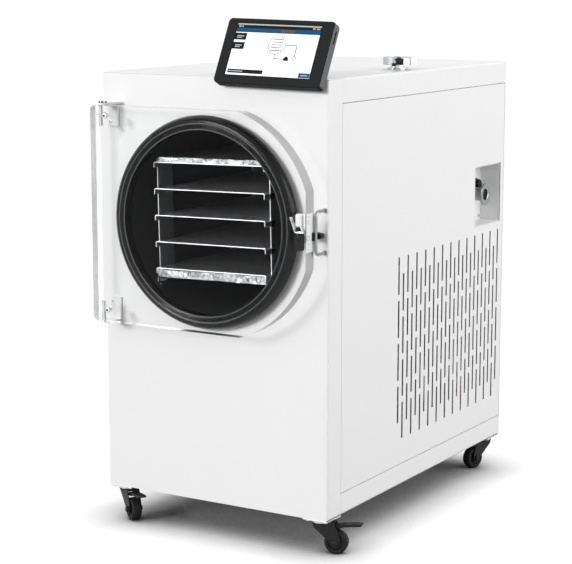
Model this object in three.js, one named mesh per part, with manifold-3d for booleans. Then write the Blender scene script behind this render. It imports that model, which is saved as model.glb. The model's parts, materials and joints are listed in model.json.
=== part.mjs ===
// Floor-standing vacuum freeze dryer on four swivel casters.
// Millimetres. +X runs to the right across the front, +Y runs back into the cabinet, +Z is up.
// The model is laid out from the middle of the front face at floor level, and the whole group is
// moved at the end so that its origin is the middle of its bounding box, on the floor.

import * as THREE from 'three';
import { mergeVertices } from 'three/addons/utils/BufferGeometryUtils.js';
import Module from 'manifold-3d';

const wasm = await Module();
wasm.setup();

// ---------------------------------------------------------------- driving dimensions

const gap = 0.3;                    // between pieces that touch
const reveal = 0.9;                 // dark line round an inset panel

const cabinet = {
  width: 420, depth: 640, height: 686, sheet: 1.5, bend: 4,
  frontReturn: 42, topRail: 38, bottomRail: 35, panelFlange: 12,
};
const caster = {
  headroom: 20, inset: 23, plate: 44, plateThickness: 2.5, racewayRadius: 16, racewayHeight: 4.5,
  wheelRadius: 19, wheelWidth: 16, trail: 24, axleRadius: 3.5, cheek: 2, web: 2.5,
};
const brake = { x: 19.5, rise: 6.2, boss: 2.8, length: 47.5, width: 14 };
const chamber = {
  axisDrop: 229, innerRadius: 147, wall: 3, depth: 396, flangeWidth: 10, flange: 3.2,
  holeClearance: 2, insulation: 27, segments: 48,
};
const gasket = { bulge: 10.5, lip: 2, bore: 1, depth: 23.7, bulgeAt: 10.5 };
const rack = {
  cornerClearance: 8.15, footClearance: 0.65, depth: 350, sheet: 1.5, lip: 10,
  shelfCount: 5, shelfPitch: 42.5, topShelf: 92,
  postWidth: 41, postSetback: 13, postHead: 96,
  topFoil: 8, bottomFoil: 13, topFoilInset: 9, tilt: 1.2,
};
const door = {
  left: 10.5, arcCentre: 26, arcMargin: 11.5, facetCut: 10, edgeMargin: 3.5, lift: 4.5,
  thickness: 24, cornerRadius: 6,
};
const hinge = {
  inset: 26, pinRadius: 3.5, pinDepth: 33, arm: 3, armRadius: 7.5, plateLeft: 18, plateRight: 40,
  plateHeight: 36, plate: 2.5, endGap: 0.6,
  screwInset: 39.5, screwDrop: { upper: 15.5, lower: 20 },
  headRadius: 5, headHeight: 3, shankRadius: 2.5, shankLength: 12,
};
const latch = {
  edgeInset: 7, drop: 5, baseWidth: 15, baseHeight: 59, baseThickness: 1.7, blockHeight: 19,
  blockDepth: 8, blockInset: 4, sidePlateReach: 14, spindleRadius: 4, gripWidth: 13, gripLength: 19,
  gripDepth: 8, tongueDepth: 10, tongueHeight: 12, tongueTip: 7,
};
const strike = { rodRadius: 3, span: 69, rise: 4.5, cornerRadius: 9, sideClearance: 3,
  footRadius: 4.2, foot: 1.5 };
const display = {
  width: 190, height: 107.5, thickness: 17, lean: 25.6, twist: 1.2, bevel: 2, cornerRadius: 5,
  screenWidth: 150, screenHeight: 85, screenShift: -1.2, screenRise: 2.3, screenRecess: 1.2,
  rightInset: 2.7, edgeClearance: 0.86, drop: 10, bracketWidth: 100, bracketHeight: 62, bracketFoot: 70,
};
const slots = { columns: 25, rows: 4, columnPitch: 16, rowPitch: 72, length: 62, width: 3,
  stagger: 28.5, rearMargin: 22.5, top: 385.5 };
const pocket = { width: 107, height: 106, sill: 400, rearMargin: 15, depth: 38, sheet: 1.2,
  rearGap: 4 };
const vacuumPort = { tubeRadius: 12, boreRadius: 10, flangeRadius: 20, flange: 3, taper: 3,
  hexRadius: 15, hex: 5, sunk: 3, tail: 22, segments: 20 };
const gland = { radius: 11.5, height: 4, domeRadius: 9, domeHeight: 12, rearward: 23, rise: 14.5 };
const topPort = { fromRight: 42, fromFront: 300, collarInset: 3, collar: 2.5, neck: 8,
  blank: 3.2, clampWall: 3.5, clampBite: 2.5, lug: 12, lugHalf: 13, boltRadius: 2.5,
  nutRadius: 5, nutLength: 11, wingReach: 13, wingTilt: 25, turn: -27 };
const compressor = { radius: 72, height: 160, x: 40, toCondenser: 92, footSize: 150, foot: 3, rim: 10 };
const condenser = { width: 330, height: 238, thickness: 46, x: 20, fromBack: 148, tank: 4 };
const fan = { radius: 98, tipClearance: 6, ringDepth: 40, hubRadius: 22, hubLength: 24, blades: 5,
  bladeThickness: 2, bladeChord: 38, pitch: 32, shaftRadius: 4, motorRadius: 27, motorLength: 28,
  sheet: 2, armWidth: 10, arms: 3 };
const controlBox = { width: 105, depth: 170, height: 170, fromLeft: 20, fromFront: 60 };
const inlet = { width: 30, height: 58, flange: 5, proud: 2, depth: 24, fromLeft: 60, sill: 70,
  socketWidth: 24, socketHeight: 19, socketDepth: 16, pinLength: 12, rockerHeight: 20,
  rockerWidth: 13, rockerProud: 3 };

// ---------------------------------------------------------------- worked-out places

const bottom = 2 * caster.wheelRadius + caster.headroom; // underside of the cabinet
const top = bottom + cabinet.height;                  // upper side of the cabinet
const side = cabinet.width / 2;
const back = cabinet.depth;
const inside = cabinet.sheet + gap;                   // clear of a sheet's inner face
const seam = cabinet.frontReturn + gap;               // where the rails start behind the front panel
const axisZ = top - chamber.axisDrop;                 // chamber axis
const vesselRadius = chamber.innerRadius + chamber.wall;
const mouthRadius = vesselRadius + chamber.flangeWidth;
const gasketRadius = mouthRadius + gasket.bulge;
const panelHole = vesselRadius + chamber.holeClearance;
const doorBack = -(gasket.depth + gap);
const doorFront = doorBack - door.thickness;
const doorZ = axisZ + door.lift;
const arcRadius = gasketRadius + door.arcMargin;
const doorHalf = gasketRadius + door.edgeMargin;      // half the door's height
const doorRight = door.arcCentre + arcRadius - door.facetCut;
const hingeAxis = [-side + hinge.inset, (doorFront + doorBack) / 2];
const deck = bottom + cabinet.sheet + gap;            // top of the base pan, where machinery stands
const condenserY = back - condenser.fromBack;
const fanRing = fan.radius + fan.tipClearance;
const shroudHeight = Math.max(condenser.height, 2 * (fanRing + 2 * fan.sheet));

// ---------------------------------------------------------------- finishes

const finish = {
  whitePaint: { color: 0xf3f4f5, roughness: 0.45, metalness: 0 },
  innerPaint: { color: 0xe3e5e7, roughness: 0.5, metalness: 0 },
  clear: { color: 0xe9f1f3, roughness: 0.05, metalness: 0, transparent: true, opacity: 0.35 },
  rubber: { color: 0x17181a, roughness: 0.6, metalness: 0 },
  blackCoat: { color: 0x161719, roughness: 0.35, metalness: 0.2 },
  blackPlastic: { color: 0x1d1e20, roughness: 0.45, metalness: 0 },
  screen: { color: 0xdfe8f2, roughness: 0.15, metalness: 0 },
  shelfSteel: { color: 0xb9bcc0, roughness: 0.3, metalness: 0.9 },
  foil: { color: 0xd5d7da, roughness: 0.25, metalness: 1 },
  foam: { color: 0xd9dadb, roughness: 0.9, metalness: 0 },
  chrome: { color: 0xd8dadc, roughness: 0.12, metalness: 1 },
  aluminium: { color: 0xb4b8bc, roughness: 0.4, metalness: 0.9 },
  zinc: { color: 0xc6c9cb, roughness: 0.4, metalness: 0.7 },
  tyre: { color: 0x1a1a1b, roughness: 0.7, metalness: 0 },
};

// ---------------------------------------------------------------- solids

const weldTolerance = 1e-4;

function signedVolume(points, triangles) {
  const corner = (i) => new THREE.Vector3().fromArray(points, 3 * i);
  let sum = 0;
  for (let i = 0; i < triangles.length; i += 3) {
    const [a, b, c] = [0, 1, 2].map((k) => corner(triangles[i + k]));
    sum += a.dot(b.cross(c)) / 6;
  }
  return sum;
}

// A closed three.js geometry as a manifold solid, with its faces turned outwards.
function solid(geometry) {
  const bare = geometry.clone();
  bare.deleteAttribute('normal');
  bare.deleteAttribute('uv');
  const merged = mergeVertices(bare, weldTolerance);
  const points = Float32Array.from(merged.getAttribute('position').array);
  const triangles = [];
  for (let i = 0; i < merged.index.count; i += 3) {
    const [a, b, c] = [0, 1, 2].map((k) => merged.index.getX(i + k));
    if (a !== b && b !== c && c !== a) triangles.push(a, b, c);
  }
  if (signedVolume(points, triangles) < 0) triangles.reverse();
  return new wasm.Manifold(new wasm.Mesh({
    numProp: 3, vertProperties: points, triVerts: Uint32Array.from(triangles),
  }));
}

function geometryOf(shape) {
  const mesh = shape.getMesh();
  const geometry = new THREE.BufferGeometry();
  geometry.setAttribute('position', new THREE.BufferAttribute(mesh.vertProperties, mesh.numProp));
  geometry.setIndex(new THREE.BufferAttribute(mesh.triVerts, 1));
  return geometry;
}

function block([x0, x1], [y0, y1], [z0, z1]) {
  const geometry = new THREE.BoxGeometry(x1 - x0, y1 - y0, z1 - z0);
  return solid(geometry.translate((x0 + x1) / 2, (y0 + y1) / 2, (z0 + z1) / 2));
}

// An outline drawn in X and Y, swept up from z0 to z1.
function sweptUp(outline, z0, z1, curveSegments = 6) {
  const geometry = new THREE.ExtrudeGeometry(outline,
    { depth: z1 - z0, bevelEnabled: false, curveSegments });
  return solid(geometry.translate(0, 0, z0));
}

// An outline drawn in X and Z, swept back from y0 to y1.
function sweptBack(outline, y0, y1, curveSegments = 6) {
  const geometry = new THREE.ExtrudeGeometry(outline,
    { depth: y1 - y0, bevelEnabled: false, curveSegments });
  return solid(geometry.rotateX(Math.PI / 2).translate(0, y1, 0));
}

// An outline drawn in Y and Z, swept right from x0 to x1.
function sweptRight(outline, x0, x1, curveSegments = 6) {
  const geometry = new THREE.ExtrudeGeometry(outline,
    { depth: x1 - x0, bevelEnabled: false, curveSegments });
  const turn = new THREE.Matrix4().makeBasis(
    new THREE.Vector3(0, 1, 0), new THREE.Vector3(0, 0, 1), new THREE.Vector3(1, 0, 0));
  return solid(geometry.applyMatrix4(turn).translate(x0, 0, 0));
}

const lathe = (profile, segments) => new THREE.LatheGeometry(
  profile.map(([radius, height]) => new THREE.Vector2(radius, height)), segments);

// Profiles are [radius, distance along the axis] pairs, turned about the Y, Z or X direction.
const turnedY = (profile, segments, at) => solid(lathe(profile, segments).translate(...at));
const turnedZ = (profile, segments, at) =>
  solid(lathe(profile, segments).rotateX(Math.PI / 2).translate(...at));
const turnedX = (profile, segments, at) =>
  solid(lathe(profile, segments).rotateZ(-Math.PI / 2).translate(...at));

const rod = (radius, from, to) => [[0, from], [radius, from], [radius, to], [0, to]];
const ring = (inner, outer, from, to) =>
  [[inner, from], [outer, from], [outer, to], [inner, to], [inner, from]];

function polygon(points) {
  return new THREE.Shape(points.map(([a, b]) => new THREE.Vector2(a, b)));
}

// A rectangle with round corners, centred on a point.
function roundedRectangle(width, height, radius, [a, b] = [0, 0]) {
  const [w, h] = [width / 2, height / 2];
  const outline = new THREE.Shape();
  outline.moveTo(a - w + radius, b - h);
  outline.absarc(a + w - radius, b - h + radius, radius, -Math.PI / 2, 0);
  outline.absarc(a + w - radius, b + h - radius, radius, 0, Math.PI / 2);
  outline.absarc(a - w + radius, b + h - radius, radius, Math.PI / 2, Math.PI);
  outline.absarc(a - w + radius, b - h + radius, radius, Math.PI, 1.5 * Math.PI);
  return outline;
}

// Section of a sheet folded up at both ends: flat along the first direction, legs along +second.
function channel(width, leg, sheet, bend) {
  const half = width / 2;
  const outline = new THREE.Shape();
  outline.moveTo(-half, leg);
  outline.lineTo(-half, bend);
  outline.absarc(-half + bend, bend, bend, Math.PI, 1.5 * Math.PI);
  outline.absarc(half - bend, bend, bend, 1.5 * Math.PI, 2 * Math.PI);
  outline.lineTo(half, leg);
  outline.lineTo(half - sheet, leg);
  outline.lineTo(half - sheet, bend);
  outline.absarc(half - bend, bend, bend - sheet, 0, -Math.PI / 2, true);
  outline.absarc(-half + bend, bend, bend - sheet, 1.5 * Math.PI, Math.PI, true);
  outline.lineTo(-half + sheet, leg);
  return outline;
}

const model = new THREE.Group();

function addPart(name, shape, look, parent = model) {
  const mesh = new THREE.Mesh(geometryOf(shape), new THREE.MeshStandardMaterial(look));
  mesh.name = name;
  parent.add(mesh);
  return mesh;
}

// ---------------------------------------------------------------- cabinet sheet metal

const envelope = sweptBack(
  roundedRectangle(cabinet.width, cabinet.height, cabinet.bend, [0, (bottom + top) / 2]),
  -cabinet.sheet, back + cabinet.sheet, 4);

function addFrontPanel() {
  const folded = sweptUp(
    channel(cabinet.width, cabinet.frontReturn, cabinet.sheet, cabinet.bend), bottom, top - inside, 4);
  const hole = turnedY(rod(panelHole, -cabinet.sheet, 2 * cabinet.bend), chamber.segments, [0, 0, axisZ]);
  addPart('front_panel', folded.subtract(hole).intersect(envelope), finish.whitePaint);
}

function addTopPanel() {
  const outline = channel(cabinet.width, cabinet.topRail, cabinet.sheet, cabinet.bend);
  const geometry = new THREE.ExtrudeGeometry(outline,
    { depth: back - inside, bevelEnabled: false, curveSegments: 4 });
  const folded = solid(geometry.rotateX(-Math.PI / 2).translate(0, 0, top));
  const frontNotch = block([-side - 1, side + 1], [-1, seam], [bottom, top - cabinet.sheet]);
  const portHole = turnedZ(rod(vacuumPort.tubeRadius + gap, -cabinet.bend, cabinet.bend),
    vacuumPort.segments, [side - topPort.fromRight, topPort.fromFront, top]);
  addPart('top_panel', folded.subtract(frontNotch).subtract(portHole), finish.whitePaint);
}

function addBasePan() {
  const rails = sweptBack(
    channel(cabinet.width, cabinet.bottomRail, cabinet.sheet, cabinet.bend), seam, back - inside, 4)
    .translate([0, 0, bottom]);
  const floorHalf = side - cabinet.bend - gap;
  const floorFront = block([-floorHalf, floorHalf], [inside, seam + 1],
    [bottom, bottom + cabinet.sheet]);
  addPart('base_pan', rails.add(floorFront), finish.whitePaint);
}

const sidePanel = {
  y: [seam - gap + reveal, back - inside - reveal],
  z: [bottom + cabinet.bottomRail + reveal, top - cabinet.topRail - reveal],
};
const pocketY = [back - pocket.rearMargin - pocket.width, back - pocket.rearMargin];
const pocketZ = [bottom + pocket.sill, bottom + pocket.sill + pocket.height];

// Cutters for one field of slots; odd columns stand lower than even ones.
function slotCutters(columns, rows, lastColumnY, topZ, x) {
  const cutters = [];
  for (let column = 0; column < columns; column += 1) {
    const y = lastColumnY - (columns - 1 - column) * slots.columnPitch;
    const drop = column % 2 === 0 ? 0 : slots.stagger;
    for (let row = 0; row < rows; row += 1) {
      const z = topZ - drop - row * slots.rowPitch;
      cutters.push(block(x, [y - slots.width / 2, y + slots.width / 2], [z - slots.length, z]));
    }
  }
  return cutters;
}

// An inset side panel: a flat face with a flange folded inwards on every edge.
function foldedPanel(direction) {
  const outer = [side - cabinet.panelFlange, side];
  const hollow = [side - cabinet.panelFlange - 1, side - cabinet.sheet];
  const mirrored = ([a, b]) => (direction > 0 ? [a, b] : [-b, -a]);
  const innerY = [sidePanel.y[0] + cabinet.sheet, sidePanel.y[1] - cabinet.sheet];
  const innerZ = [sidePanel.z[0] + cabinet.sheet, sidePanel.z[1] - cabinet.sheet];
  return block(mirrored(outer), sidePanel.y, sidePanel.z)
    .subtract(block(mirrored(hollow), innerY, innerZ));
}

function addSidePanels() {
  const fieldTop = bottom + slots.top;
  const lastColumn = back - slots.rearMargin;
  const through = [side - 2 * cabinet.sheet, side + cabinet.sheet];
  const inlets = slotCutters(slots.columns, slots.rows, lastColumn, fieldTop, through);
  const pocketHole = block([side - 2 * cabinet.panelFlange, side + 1],
    [pocketY[0] - gap, pocketY[1]], [pocketZ[0] - gap, pocketZ[1] + gap]);
  const right = [...inlets, pocketHole].reduce((panel, cutter) => panel.subtract(cutter), foldedPanel(1));
  addPart('side_panel_right', right, finish.whitePaint);

  const outlets = slotCutters(Math.ceil(slots.columns / 2), slots.rows - 2, lastColumn,
    fieldTop - 2 * slots.rowPitch, [-through[1], -through[0]]);
  const left = outlets.reduce((panel, cutter) => panel.subtract(cutter), foldedPanel(-1));
  addPart('side_panel_left', left, finish.whitePaint);
}

const inletX = -side + inlet.fromLeft;
const inletZ = bottom + inlet.sill + inlet.height / 2;
const fanX = condenser.x;
const fanZ = deck + shroudHeight / 2;

// Rear panel with rows of exhaust slots in front of the fan and a cut-out for the mains inlet.
function addRearPanel() {
  let panel = block([-side, side], [back - cabinet.sheet, back], [bottom, top]).intersect(envelope);
  const face = [back - 2 * cabinet.sheet, back + cabinet.sheet];
  const slotCount = 9;
  for (let i = 0; i < slotCount; i += 1) {
    const z = fanZ + (i - (slotCount - 1) / 2) * (2 * fan.radius / slotCount);
    const reach = Math.sqrt(Math.max(0, fan.radius ** 2 - (z - fanZ) ** 2));
    for (const way of [-1, 1]) {
      const x = [fanX + way * 5, fanX + way * reach].sort((a, b) => a - b);
      panel = panel.subtract(block(x, face, [z - 4, z + 4]));
    }
  }
  const [w, h] = [inlet.width / 2 + gap, inlet.height / 2 + gap];
  panel = panel.subtract(block([inletX - w, inletX + w], face, [inletZ - h, inletZ + h]));
  addPart('rear_panel', panel, finish.whitePaint);
}

function addPocket() {
  const y = [pocketY[0], pocketY[1] - pocket.rearGap];
  const x = [side - pocket.depth, side];
  const wall = pocket.sheet;
  const hollow = block([x[0] + wall, x[1] + 1], [y[0] + wall, y[1] - wall],
    [pocketZ[0] + wall, pocketZ[1] - wall]);
  const portHole = turnedX(rod(vacuumPort.tubeRadius + gap, -wall - 1, 2 * wall), vacuumPort.segments,
    [x[0], (y[0] + y[1]) / 2 + 2, (pocketZ[0] + pocketZ[1]) / 2]);
  addPart('port_pocket', block(x, y, pocketZ).subtract(hollow).subtract(portHole), finish.whitePaint);
}

// ---------------------------------------------------------------- chamber and rack

function addChamber() {
  const { innerRadius, depth, flange, segments, wall } = chamber;
  const dish = [[0, 0], [0.62, -4], [0.92, -16], [1, -34]];
  const inner = dish.map(([share, setBack]) => [share * innerRadius, depth + setBack]);
  const outer = dish.map(([share, setBack]) => [share * vesselRadius, depth + wall + setBack]);
  const mouth = [[innerRadius, -gap - flange], [mouthRadius, -gap - flange], [mouthRadius, -gap],
    [vesselRadius, -gap]];
  const profile = [...inner, ...mouth, ...outer.toReversed()];
  addPart('chamber_vessel', turnedY(profile, segments, [0, 0, axisZ]), finish.blackCoat);

  const lining = dish.map(([share, setBack]) =>
    [share * (vesselRadius + 2 * gap), depth + wall + 2 * gap + setBack]);
  const shell = vesselRadius + chamber.insulation;
  const behind = depth + wall + chamber.insulation;
  const jacket = [...lining, [vesselRadius + 2 * gap, inside], [shell, inside],
    [shell, behind - chamber.insulation], [shell - chamber.insulation, behind], [0, behind]];
  addPart('insulation_jacket', turnedY(jacket, segments, [0, 0, axisZ]), finish.foam);
}

// One rubber ring: it wraps the vessel's flange, bulges outwards and gives the door two lips.
function addGasket() {
  const { depth, bulgeAt } = gasket;
  const innerRadius = chamber.innerRadius - gasket.bore;
  const lipRadius = mouthRadius + gasket.lip;
  const seat = -(2 * gap + chamber.flange);
  const lip = (lipRadius - innerRadius) / 3;
  const groove = depth - lip / 2;
  const shoulder = (lipRadius + 2 * gasketRadius) / 3;
  const wrap = mouthRadius + gap;
  const profile = [
    [innerRadius, seat], [innerRadius, -groove], [innerRadius + lip / 2, -depth],
    [innerRadius + 1.4 * lip, -depth], [innerRadius + 1.7 * lip, -groove],
    [innerRadius + 2.2 * lip, -groove], [innerRadius + 2.5 * lip, -depth], [lipRadius, -depth],
    [shoulder, -(depth + bulgeAt) / 2 - 1], [gasketRadius, -bulgeAt], [shoulder, -bulgeAt / 2 + 1],
    [lipRadius + 2, -gap], [wrap, -gap], [wrap, seat], [innerRadius, seat],
  ];
  addPart('chamber_gasket', turnedY(profile, chamber.segments, [0, 0, axisZ]), finish.rubber);
}

// The rack is drawn round the chamber's axis; it rests slightly tilted in the round vessel.
function addRack() {
  const upper = rack.topShelf + gap;
  const lower = rack.topShelf - (rack.shelfCount - 1) * rack.shelfPitch - rack.sheet - gap;
  const across = (radius, height) => Math.sqrt(radius ** 2 - height ** 2);
  const reach = chamber.innerRadius - rack.cornerClearance;
  const half = Math.min(across(reach, rack.topShelf),
    across(reach, rack.bottomFoil - lower) + rack.sheet + gap);
  const foot = across(chamber.innerRadius - rack.footClearance, half + gap + rack.sheet);
  const place = (shape) => shape.rotate([0, -rack.tilt, 0]).translate([0, 0, axisZ]);
  for (let i = 0; i < rack.shelfCount; i += 1) {
    const z = rack.topShelf - i * rack.shelfPitch;
    const lips = block([-half, half], [0, rack.depth], [z - rack.lip, z]);
    const under = block([-half + rack.sheet, half - rack.sheet], [-1, rack.depth + 1],
      [z - rack.lip - 1, z - rack.sheet]);
    addPart(`shelf_${i + 1}`, place(lips.subtract(under)), finish.shelfSteel);
  }
  for (const [name, way] of [['left', -1], ['right', 1]]) {
    const x = [way * (half + gap), way * (half + gap + rack.sheet)].sort((a, b) => a - b);
    const z = [-foot, rack.postHead];
    const front = rack.postSetback;
    const rear = rack.depth - rack.postSetback - rack.postWidth;
    for (const [end, y] of [['front', front], ['rear', rear]]) {
      const post = block(x, [y, y + rack.postWidth], z);
      addPart(`rack_post_${end}_${name}`, place(post), finish.shelfSteel);
    }
  }
  const foils = [['top', half - rack.topFoilInset, [upper, upper + rack.topFoil]],
    ['bottom', half - rack.sheet - gap, [lower - rack.bottomFoil, lower]]];
  for (const [name, edge, z] of foils) {
    addPart(`foil_blanket_${name}`, place(block([-edge, edge], [1, rack.depth - 2], z)), finish.foil);
  }
}

// ---------------------------------------------------------------- door, hinges and latch

const latchX = doorRight - latch.edgeInset;
const latchZ = axisZ - latch.drop;

function addDoor() {
  const left = -side + door.left;
  const { arcCentre, cornerRadius } = door;
  const cutAngle = Math.asin(doorHalf / arcRadius);
  const facetAngle = Math.acos((doorRight - arcCentre) / arcRadius);
  const outline = new THREE.Shape();
  outline.moveTo(left + cornerRadius, doorZ - doorHalf);
  outline.absarc(arcCentre, doorZ, arcRadius, -cutAngle, -facetAngle);
  outline.absarc(arcCentre, doorZ, arcRadius, facetAngle, cutAngle);
  outline.absarc(left + cornerRadius, doorZ + doorHalf - cornerRadius, cornerRadius,
    Math.PI / 2, Math.PI);
  outline.absarc(left + cornerRadius, doorZ - doorHalf + cornerRadius, cornerRadius,
    Math.PI, 1.5 * Math.PI);
  const slab = sweptBack(outline, doorFront, doorBack, 14);
  let shape = slab.subtract(turnedY(rod(latch.spindleRadius + gap, doorFront - 1, doorBack + 1), 16,
    [latchX, 0, latchZ]));
  for (const [name, way] of [['upper', 1], ['lower', -1]]) {
    const edge = doorZ + way * doorHalf;
    const depth = [edge - way * hinge.pinDepth, edge + way].sort((a, b) => a - b);
    const pinHole = turnedZ(rod(hinge.pinRadius + gap, ...depth), 16, [...hingeAxis, 0]);
    const screwHole = turnedY(
      rod(hinge.shankRadius + gap, doorFront - 1, doorFront + hinge.shankLength + 1), 16,
      [-side + hinge.screwInset, 0, edge - way * hinge.screwDrop[name]]);
    shape = shape.subtract(pinHole).subtract(screwHole);
  }
  addPart('door_panel', shape, finish.clear);
}

// Each hinge is a bracket on the front panel whose arm holds a pin in the end of the door.
function addHinges() {
  const [x, y] = hingeAxis;
  const outline = new THREE.Shape();
  outline.moveTo(-side + hinge.plateRight, -gap);
  outline.lineTo(-side + hinge.plateLeft, -gap);
  outline.lineTo(x - hinge.armRadius, y);
  outline.absarc(x, y, hinge.armRadius, Math.PI, 2 * Math.PI);
  const plateX = [-side + hinge.plateLeft, -side + hinge.plateRight];
  const plateY = [-gap - hinge.plate, -gap];
  for (const [name, way] of [['upper', 1], ['lower', -1]]) {
    const edge = doorZ + way * doorHalf;
    const span = (a, b) => [edge + way * a, edge + way * b].sort((p, q) => p - q);
    const armZ = span(hinge.endGap, hinge.endGap + hinge.arm);
    const pin = turnedZ(rod(hinge.pinRadius, ...span(-hinge.pinDepth + 1, hinge.endGap + 1)), 16, [x, y, 0]);
    const plate = block(plateX, plateY, span(hinge.endGap - hinge.plateHeight, hinge.endGap + 1));
    addPart(`hinge_bracket_${name}`, sweptUp(outline, ...armZ, 6).add(pin).add(plate), finish.zinc);
    const screwZ = edge - way * hinge.screwDrop[name];
    const screwEnd = doorFront + hinge.shankLength;
    const head = doorFront - gap;
    const screw = turnedY([[0, screwEnd], [hinge.shankRadius, screwEnd], [hinge.shankRadius, head],
      [hinge.headRadius, head], [hinge.headRadius - 0.6, head - 0.6 * hinge.headHeight],
      [hinge.headRadius / 2, head - hinge.headHeight], [0, head - hinge.headHeight]],
    16, [-side + hinge.screwInset, 0, screwZ]);
    addPart(`hinge_screw_${name}`, screw, finish.chrome);
  }
}

function addLatch() {
  const front = doorFront - gap;
  const left = doorRight - latch.baseWidth;
  const right = doorRight + gap + latch.baseThickness;
  const low = latchZ - latch.baseHeight / 2 + latch.gripWidth / 2;
  const high = low + latch.baseHeight;
  const plate = block([left, right], [front - latch.baseThickness, front], [low, high]);
  const sidePlate = block([doorRight + gap, right], [front - 1, front + latch.sidePlateReach],
    [low, high]);
  const head = block([left + latch.blockInset, right - 2], [front - latch.blockDepth, front],
    [high - latch.blockHeight, high]);
  const seat = turnedY(rod(latch.spindleRadius + gap, front - 5, front + 1), 16, [latchX, 0, latchZ]);
  addPart('latch_base', plate.add(sidePlate).add(head).subtract(seat), finish.clear);

  const gripBack = front - latch.baseThickness - gap;
  const grip = sweptBack(
    roundedRectangle(latch.gripWidth, latch.gripLength + latch.gripWidth / 2, 3,
      [latchX, latchZ + latch.gripWidth / 4 - latch.gripLength / 2]),
    gripBack - latch.gripDepth, gripBack, 3);
  const spindle = turnedY(rod(latch.spindleRadius, gripBack - 1, doorBack + latch.tongueDepth), 16,
    [latchX, 0, latchZ]);
  addPart('latch_handle', grip.add(spindle), finish.blackPlastic);

  const tip = doorRight + strike.sideClearance + 2 * strike.rodRadius + 4;
  const [h, t] = [latch.tongueHeight / 2, latch.tongueTip / 2];
  const boss = latch.spindleRadius + 3;
  const outline = polygon([[latchX - boss, latchZ - h], [latchX + boss, latchZ - h],
    [tip, latchZ - t], [tip, latchZ + t], [latchX + boss, latchZ + h], [latchX - boss, latchZ + h]]);
  const tongueY = [doorBack + gap, doorBack + gap + latch.tongueDepth];
  const hub = turnedY(rod(latch.spindleRadius + gap, tongueY[0] - 1, tongueY[1] + 1), 16,
    [latchX, 0, latchZ]);
  addPart('latch_tongue', sweptBack(outline, ...tongueY).subtract(hub), finish.blackPlastic);
}

// The strike is one bent rod: out from the front panel, down past the door's edge and back in.
function addStrike() {
  const x = doorRight + strike.sideClearance + strike.rodRadius;
  const barY = doorBack - strike.rodRadius;
  const half = strike.span / 2;
  const centre = latchZ + strike.rise;
  const r = strike.cornerRadius;
  const point = (y, z) => new THREE.Vector3(x, y, z);
  const path = new THREE.CurvePath();
  const leg = (z) => [point(-gap - strike.foot / 2, z), point(barY + r, z)];
  path.add(new THREE.LineCurve3(...leg(centre + half)));
  path.add(new THREE.QuadraticBezierCurve3(point(barY + r, centre + half), point(barY, centre + half),
    point(barY, centre + half - r)));
  path.add(new THREE.LineCurve3(point(barY, centre + half - r), point(barY, centre - half + r)));
  path.add(new THREE.QuadraticBezierCurve3(point(barY, centre - half + r), point(barY, centre - half),
    point(barY + r, centre - half)));
  path.add(new THREE.LineCurve3(...leg(centre - half).reverse()));
  const section = new THREE.Shape().absarc(0, 0, strike.rodRadius, 0, 2 * Math.PI);
  const bar = new THREE.ExtrudeGeometry(section, { steps: 24, curveSegments: 5, extrudePath: path });
  let shape = solid(bar);
  for (const z of [centre + half, centre - half]) {
    shape = shape.add(turnedY(rod(strike.footRadius, -gap - strike.foot, -gap), 16, [x, 0, z]));
  }
  addPart('latch_strike', shape, finish.chrome);
}

// ---------------------------------------------------------------- touch display

// Drawn upright with its front face at y = 0 and its lower edge at z = 0, then leant back.
function addDisplay() {
  const { width, height, thickness, bevel } = display;
  const lean = THREE.MathUtils.degToRad(display.lean);
  const forward = thickness / Math.cos(lean) + display.drop * Math.tan(lean) + display.edgeClearance;
  const frame = new THREE.Group();
  frame.position.set(side - display.rightInset - width / 2, -forward, top - display.drop);
  frame.rotation.set(-lean, THREE.MathUtils.degToRad(display.twist), 0);
  model.add(frame);

  const outline = roundedRectangle(width - 2 * bevel, height - 2 * bevel, display.cornerRadius,
    [0, height / 2]);
  const geometry = new THREE.ExtrudeGeometry(outline, { depth: thickness - 2 * bevel, curveSegments: 4,
    bevelEnabled: true, bevelSize: bevel, bevelThickness: bevel, bevelSegments: 2 });
  const body = solid(geometry.rotateX(Math.PI / 2).translate(0, thickness - bevel, 0));
  const screenX = [display.screenShift - display.screenWidth / 2,
    display.screenShift + display.screenWidth / 2];
  const middle = height / 2 + display.screenRise;
  const screenZ = [middle - display.screenHeight / 2, middle + display.screenHeight / 2];
  const recess = block([screenX[0] - gap, screenX[1] + gap], [-1, display.screenRecess],
    [screenZ[0] - gap, screenZ[1] + gap]);
  const cardSlot = block([width / 2 - 6, width / 2 + 1], [thickness / 2 - 1.5, thickness / 2 + 1.5],
    [0.68 * height, 0.88 * height]);
  addPart('display_housing', body.subtract(recess).subtract(cardSlot), finish.blackPlastic, frame);
  addPart('display_screen', block(screenX, [gap, display.screenRecess - gap], screenZ),
    finish.screen, frame);

  const slope = Math.tan(lean);
  const backY = (z) => -forward + thickness / Math.cos(lean)
    + (z - (top - display.drop)) * slope + gap / Math.cos(lean);
  const foot = top + gap;
  const head = top + display.bracketHeight;
  const bracketX = frame.position.x;
  const wedge = polygon([[backY(foot + 3) + 4, foot], [display.bracketFoot, foot],
    [display.bracketFoot, foot + 3], [backY(head) + 12, head], [backY(head), head],
    [backY(foot + 6), foot + 6]]);
  addPart('display_bracket', sweptRight(wedge, bracketX - display.bracketWidth / 2,
    bracketX + display.bracketWidth / 2), finish.blackPlastic);
}

// ---------------------------------------------------------------- vacuum ports

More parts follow.
